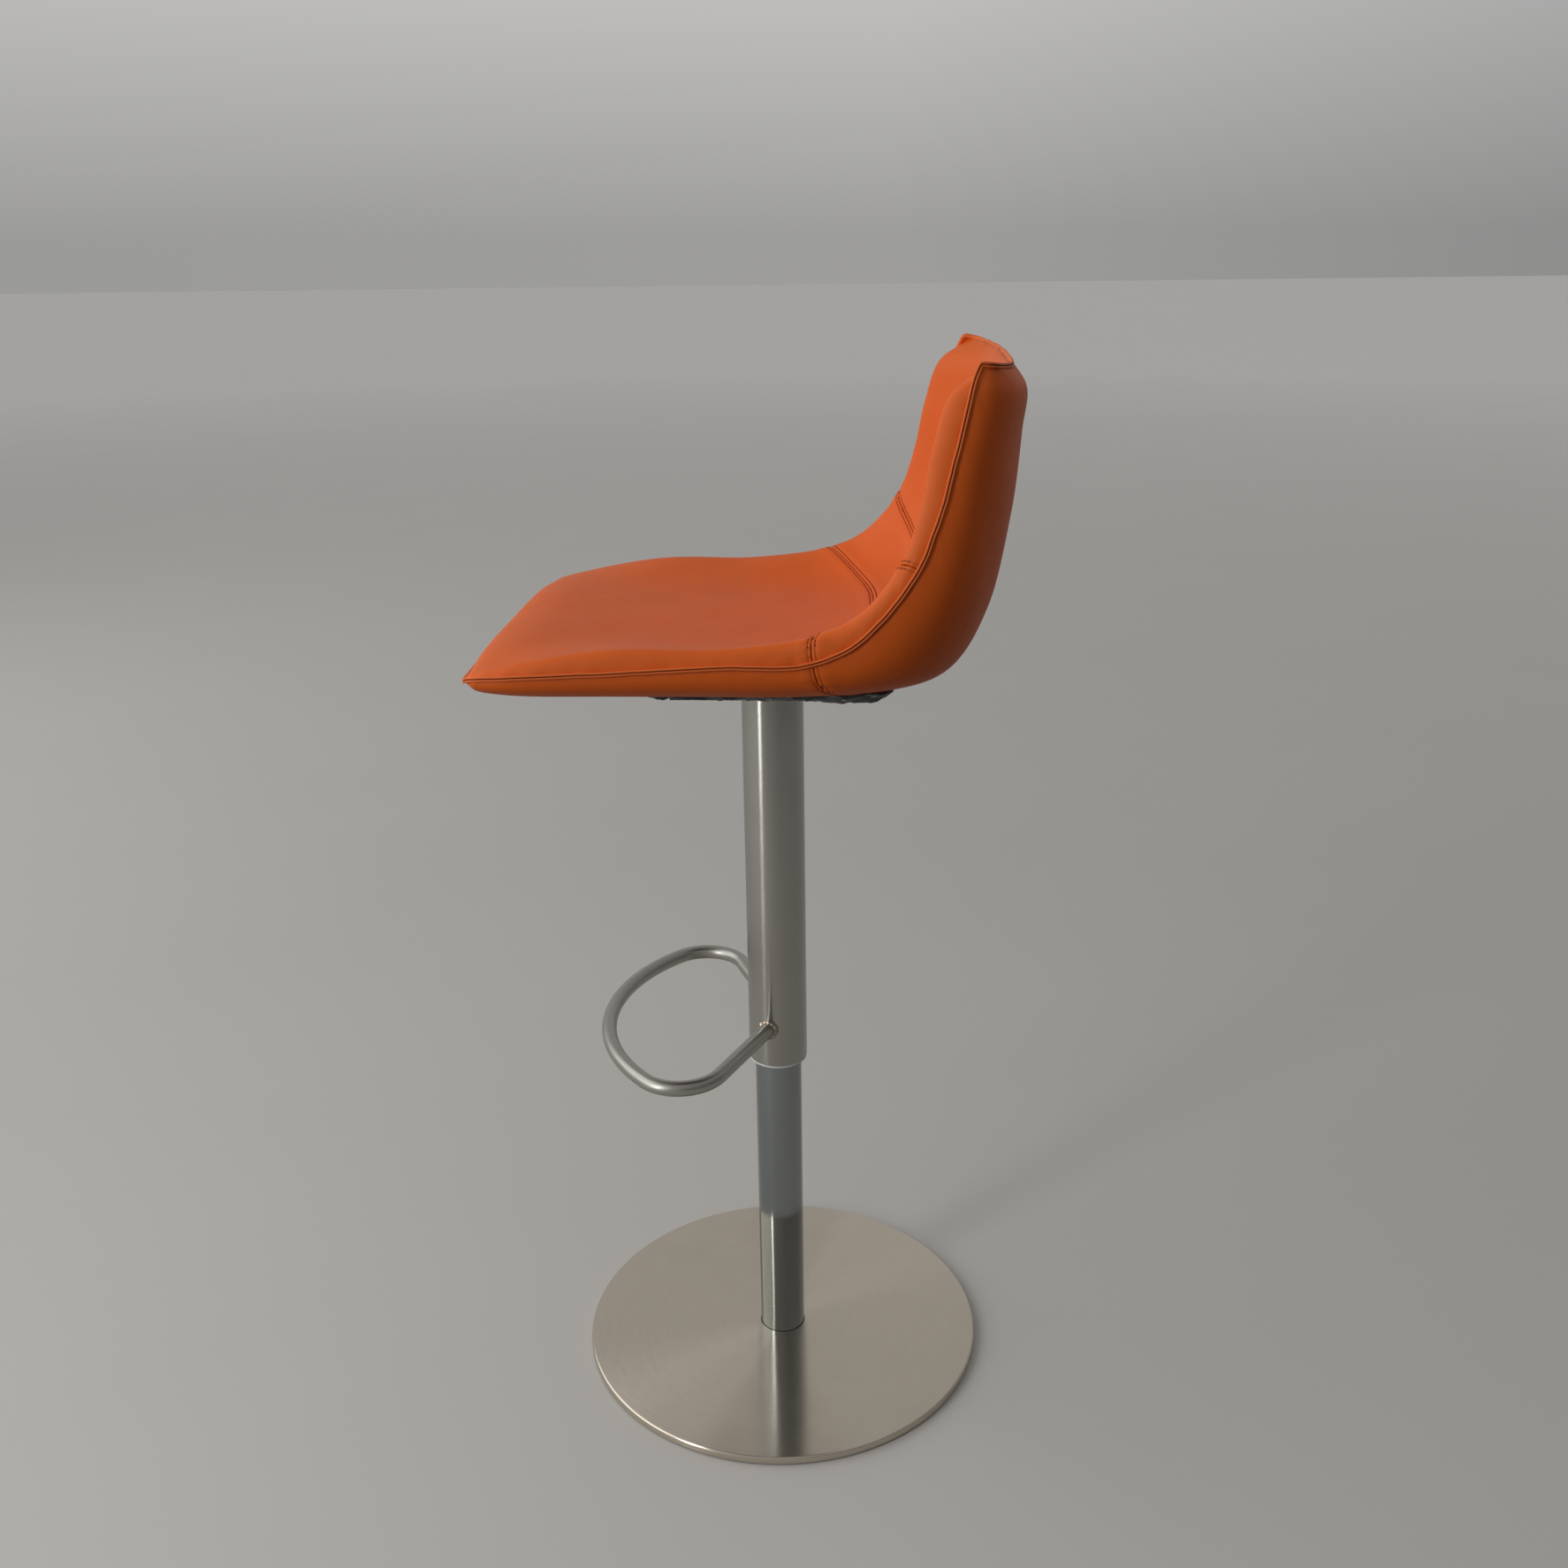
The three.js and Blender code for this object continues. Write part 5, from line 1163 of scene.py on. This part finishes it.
def make_grip(materials):
    """Moulded lever grip: a flat paddle with round edges and five finger ridges."""
    narrowing, ridge_height, squareness = 0.22, 0.035, 3.4
    low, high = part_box("lever_grip")
    centre, half = (low + high) / 2, (high - low) / 2
    t = np.linspace(-1, 1, 70)
    taper = (1 - np.abs(t) ** 7) ** (1 / 3)
    flare = 1 - narrowing * smoothstep((t + 0.1) / 1.1)
    ridge = ridge_height * np.sin(t * 5 * math.pi) * (np.abs(t) < 0.8)
    path = np.array(centre) + np.outer(t, [half.x, 0, 0])
    side = np.outer(half.y * taper * flare, [0, 1, 0])
    up = np.outer(half.z * taper * (0.93 + ridge), [0, 0, 1])
    round_section = circle(40)
    section = np.sign(round_section) * np.abs(round_section) ** (2 / squareness)
    piece = swept("grip", path, side, up, section, False)
    settle(piece, "lever", "black_nylon", materials["nylon"], "lever_grip")


# Stage

# The room's tone at each heading in degrees from +X towards +Y: a bright side before the seat, a dim one behind it
ROOM_TONES = (
    (-180, 0.55), (-140, 0.52), (-105, 0.7), (-85, 0.95), (-50, 0.95), (-36, 0.8), (-20, 0.42), (6, 0.28), (24, 0.12),
    (98, 0.12), (118, 0.28), (150, 0.4), (180, 0.55),
)
HORIZON_SHARE = 0.62  # of the room's tone, where it meets the floor
CEILING_TONE = 0.4


def make_world(scene):
    """A soft room with one bright side and a dimmer ceiling, which steel needs to show its roundness."""
    world = bpy.data.worlds.new("soft_room")
    world.use_nodes = True
    scene.world = world
    world.node_tree.nodes.clear()
    nodes = Nodes(world.node_tree)
    place = nodes.add("ShaderNodeTexCoord")["Generated"]
    x, y, z = nodes.add("ShaderNodeSeparateXYZ", {"Vector": place})
    turn = nodes.span(nodes.maths("ARCTAN2", y, x), 0, 1, -math.pi, math.pi)
    ramp = nodes.add("ShaderNodeValToRGB", {"Fac": turn})[0]
    stops = ramp.node.color_ramp.elements
    while len(stops) < len(ROOM_TONES):
        stops.new(0.5)
    for stop, (degrees, tone) in zip(stops, ROOM_TONES):
        warm = 0.03 * smoothstep((tone - 0.2) / 0.5)
        stop.position = (degrees + 180) / 360
        stop.color = (tone, tone * (1 - warm / 2), tone * (1 - warm), 1)
    share = nodes.span(z, HORIZON_SHARE, 1, -0.01, 0.14)
    level = nodes.add("ShaderNodeVectorMath", {0: ramp, "Scale": share}, operation="SCALE")[0]
    tone = nodes.blend(nodes.span(z, 0, 1, 0.2, 0.9), level, (CEILING_TONE,) * 3)
    light = nodes.add("ShaderNodeBackground", {"Color": tone, "Strength": 1.0})[0]
    nodes.add("ShaderNodeOutputWorld", {"Surface": light})


def make_lamp(name, power, width, height, place):
    """A rectangular soft lamp that faces the middle of the column."""
    lamp = bpy.data.lights.new(name, "AREA")
    lamp.shape = "RECTANGLE"
    lamp.energy, lamp.size, lamp.size_y = power, width, height
    holder = placed(name, lamp)
    holder.location = place
    holder.rotation_mode = "QUATERNION"
    holder.rotation_quaternion = (Vector((0, 0, 0.6)) - Vector(place)).to_track_quat("-Z", "Y")


def make_camera(stage):
    camera = bpy.data.cameras.new("camera")
    camera.sensor_width = camera.lens = stage.sensor
    camera.clip_start, camera.clip_end = 0.01, 100
    holder = placed("camera", camera)
    turn = Matrix.Rotation(stage.heading, 4, "Z")
    tilt = Matrix.Rotation(math.pi / 2 - stage.tilt, 4, "X")
    roll = Matrix.Rotation(stage.roll, 4, "Z")
    holder.matrix_world = Matrix.Translation(stage.camera_place) @ turn @ tilt @ roll
    bpy.context.scene.camera = holder


# Operators

class STOOL_OT_stage(bpy.types.Operator):
    """Makes the camera, the floor and the lights."""

    bl_idname = "stool.stage"
    bl_label = "Stage"

    def execute(self, context):
        stage = context.scene.stool_stage
        make_camera(stage)
        half = stage.floor_size / 2
        corners = [(-half, -half, 0), (half, -half, 0), (half, half, 0), (-half, half, 0)]
        floor = mesh_piece("floor", corners, [(0, 1, 2, 3)], smooth=False)
        floor.data.materials.append(floor_paint(stage))
        make_world(context.scene)
        make_lamp("key", stage.key_power, 5.2, 3.6, (0.0, -3.4, 2.6))
        make_lamp("strip", stage.strip_power, 0.4, 1.6, (1.8, -1.8, 1.3))
        context.scene.view_settings.view_transform = "Standard"
        return {"FINISHED"}


class STOOL_OT_upholstery(bpy.types.Operator):
    """Makes the leather panels, the welt, the topstitching and the foam under them."""

    bl_idname = "stool.upholstery"
    bl_label = "Upholstery"

    def execute(self, context):
        s = context.scene.stool_seat
        materials = palette()
        form = SeatForm(s)
        grids = cover_grids(form)
        make_covers(form, grids, materials["leather"])
        frames = welt_frames(form)
        make_welt(s, frames, materials["welt"])
        rows = {
            "topstitching": (seam_lines(form, grids), s.stitch_pitch, s.stitch_length, s.thread, 0.1 * s.thread),
            "welt_stitching": ([(frames[0] + frames[1] * (s.lip_rise - 0.7 * s.lip), frames[1])],
                               3.4 * MM, 2.5 * MM, 0.3 * MM, 0.0),
        }
        for name, (lines, *sizes) in rows.items():
            sizes = dict(zip(("Pitch", "Length", "Radius", "Lift"), sizes))
            grow(name, lines, sizes, "piping_leather", materials["thread"], stitch_shape)
        foam = finished_copy("seat_foam", "foam_cushion", inset=2.6 * MM)
        settle(foam, "upper", "foam", materials["foam"], "seat_foam")
        return {"FINISHED"}


class STOOL_OT_underside(bpy.types.Operator):
    """Makes the black cloth under the seat and its staples."""

    bl_idname = "stool.underside"
    bl_label = "Underside"

    def execute(self, context):
        materials = palette()
        face = make_underside(SeatForm(context.scene.stool_seat), materials["cloth"])
        sizes = {"Pitch": 24 * MM, "Length": 10 * MM, "Radius": 0.5 * MM, "Lift": 0.7 * MM}
        grow("staples", staple_lines(face), sizes, "zinc_steel", materials["zinc"], staple_shape)
        return {"FINISHED"}


class STOOL_OT_steel(bpy.types.Operator):
    """Makes the base disc, the tubes, the footrest and its welds."""

    bl_idname = "stool.steel"
    bl_label = "Steel"

    def execute(self, context):
        s = context.scene.stool_steel
        materials = palette()
        make_disc(materials)
        make_tubes(s, materials)
        make_footrest(s, materials)
        return {"FINISHED"}


class STOOL_OT_mechanism(bpy.types.Operator):
    """Finishes the seat plate, the lift lever and their fasteners."""

    bl_idname = "stool.mechanism"
    bl_label = "Mechanism"

    def execute(self, context):
        materials = palette()
        parts = [
            ("seat_plate", 0.5, "upper", "black_steel", "coat"),
            ("lever_bracket", 0.3, "upper", "black_steel", "coat"),
            ("lever_pivot_pin", 0.25, "upper", "zinc_steel", "zinc"),
            ("taper_socket", 0.3, "upper", "mild_steel", "mill"),
            ("lift_lever", 0.7, "lever", "black_steel", "coat"),
        ]
        for stem, count, bevel in (("seat_bolt", 4, 0.25), ("seat_washer", 4, 0.15), ("sleeve_screw", 2, 0.15)):
            parts += [(f"{stem}_{i + 1}", bevel, "upper", "zinc_steel", "zinc") for i in range(count)]
        for node, bevel, body, slot, finish in parts:
            settle(finished_copy(node, f"{node}_finished", bevel * MM), body, slot, materials[finish], node)
        make_grip(materials)
        return {"FINISHED"}


class STOOL_OT_hidden_parts(bpy.types.Operator):
    """Gives the parts that keep their plain shape their finishes."""

    bl_idname = "stool.hidden_parts"
    bl_label = "Hidden parts"

    def execute(self, context):
        materials = palette()
        finishes = {
            "mild_steel": "mill", "zinc_steel": "zinc", "black_steel": "coat", "black_nylon": "nylon",
            "pale_nylon": "pale", "black_rubber": "rubber", "plywood": "ply", "polished_stainless": "polished",
            "brushed_stainless": "sleeve", "weld": "weld", "black_fabric": "cloth", "foam": "foam",
            "seat_leather": "leather", "piping_leather": "welt",
        }
        slots = {part["node"]: part["material_slot"] for part in frame["record"]["subparts"]}
        for name, node in frame["nodes"].items():
            node.data.materials.clear()
            node.data.materials.append(materials[finishes[slots[name]]])
        return {"FINISHED"}


class STOOL_PT_panel(bpy.types.Panel):
    """Lists the stool's operators and sizes."""

    bl_idname = "STOOL_PT_panel"
    bl_label = "Counter Stool"
    bl_space_type = "VIEW_3D"
    bl_region_type = "UI"
    bl_category = "Stool"

    def draw(self, context):
        for operator in OPERATORS:
            self.layout.operator(operator.bl_idname)
        for group, kind in GROUPS.items():
            column = self.layout.column()
            for name in kind.__annotations__:
                column.prop(getattr(context.scene, group), name)


OPERATORS = (
    STOOL_OT_stage, STOOL_OT_hidden_parts, STOOL_OT_upholstery, STOOL_OT_underside, STOOL_OT_steel,
    STOOL_OT_mechanism,
)
GROUPS = {
    "stool_seat": StoolSeatSizes,
    "stool_steel": StoolSteelSizes,
    "stool_colours": StoolColours,
    "stool_stage": StoolStageSettings,
}


def register():
    for group in GROUPS.values():
        bpy.utils.register_class(group)
    for name, group in GROUPS.items():
        setattr(bpy.types.Scene, name, bpy.props.PointerProperty(type=group))
    for item in (*OPERATORS, STOOL_PT_panel):
        bpy.utils.register_class(item)


def unregister():
    for item in reversed((*OPERATORS, STOOL_PT_panel)):
        bpy.utils.unregister_class(item)
    for name, group in GROUPS.items():
        delattr(bpy.types.Scene, name)
        bpy.utils.unregister_class(group)


def main():
    register()
    bpy.ops.stool.stage()
    bpy.ops.stool.hidden_parts()
    bpy.ops.stool.upholstery()
    bpy.ops.stool.underside()
    bpy.ops.stool.steel()
    bpy.ops.stool.mechanism()


if __name__ == "__main__":
    main()
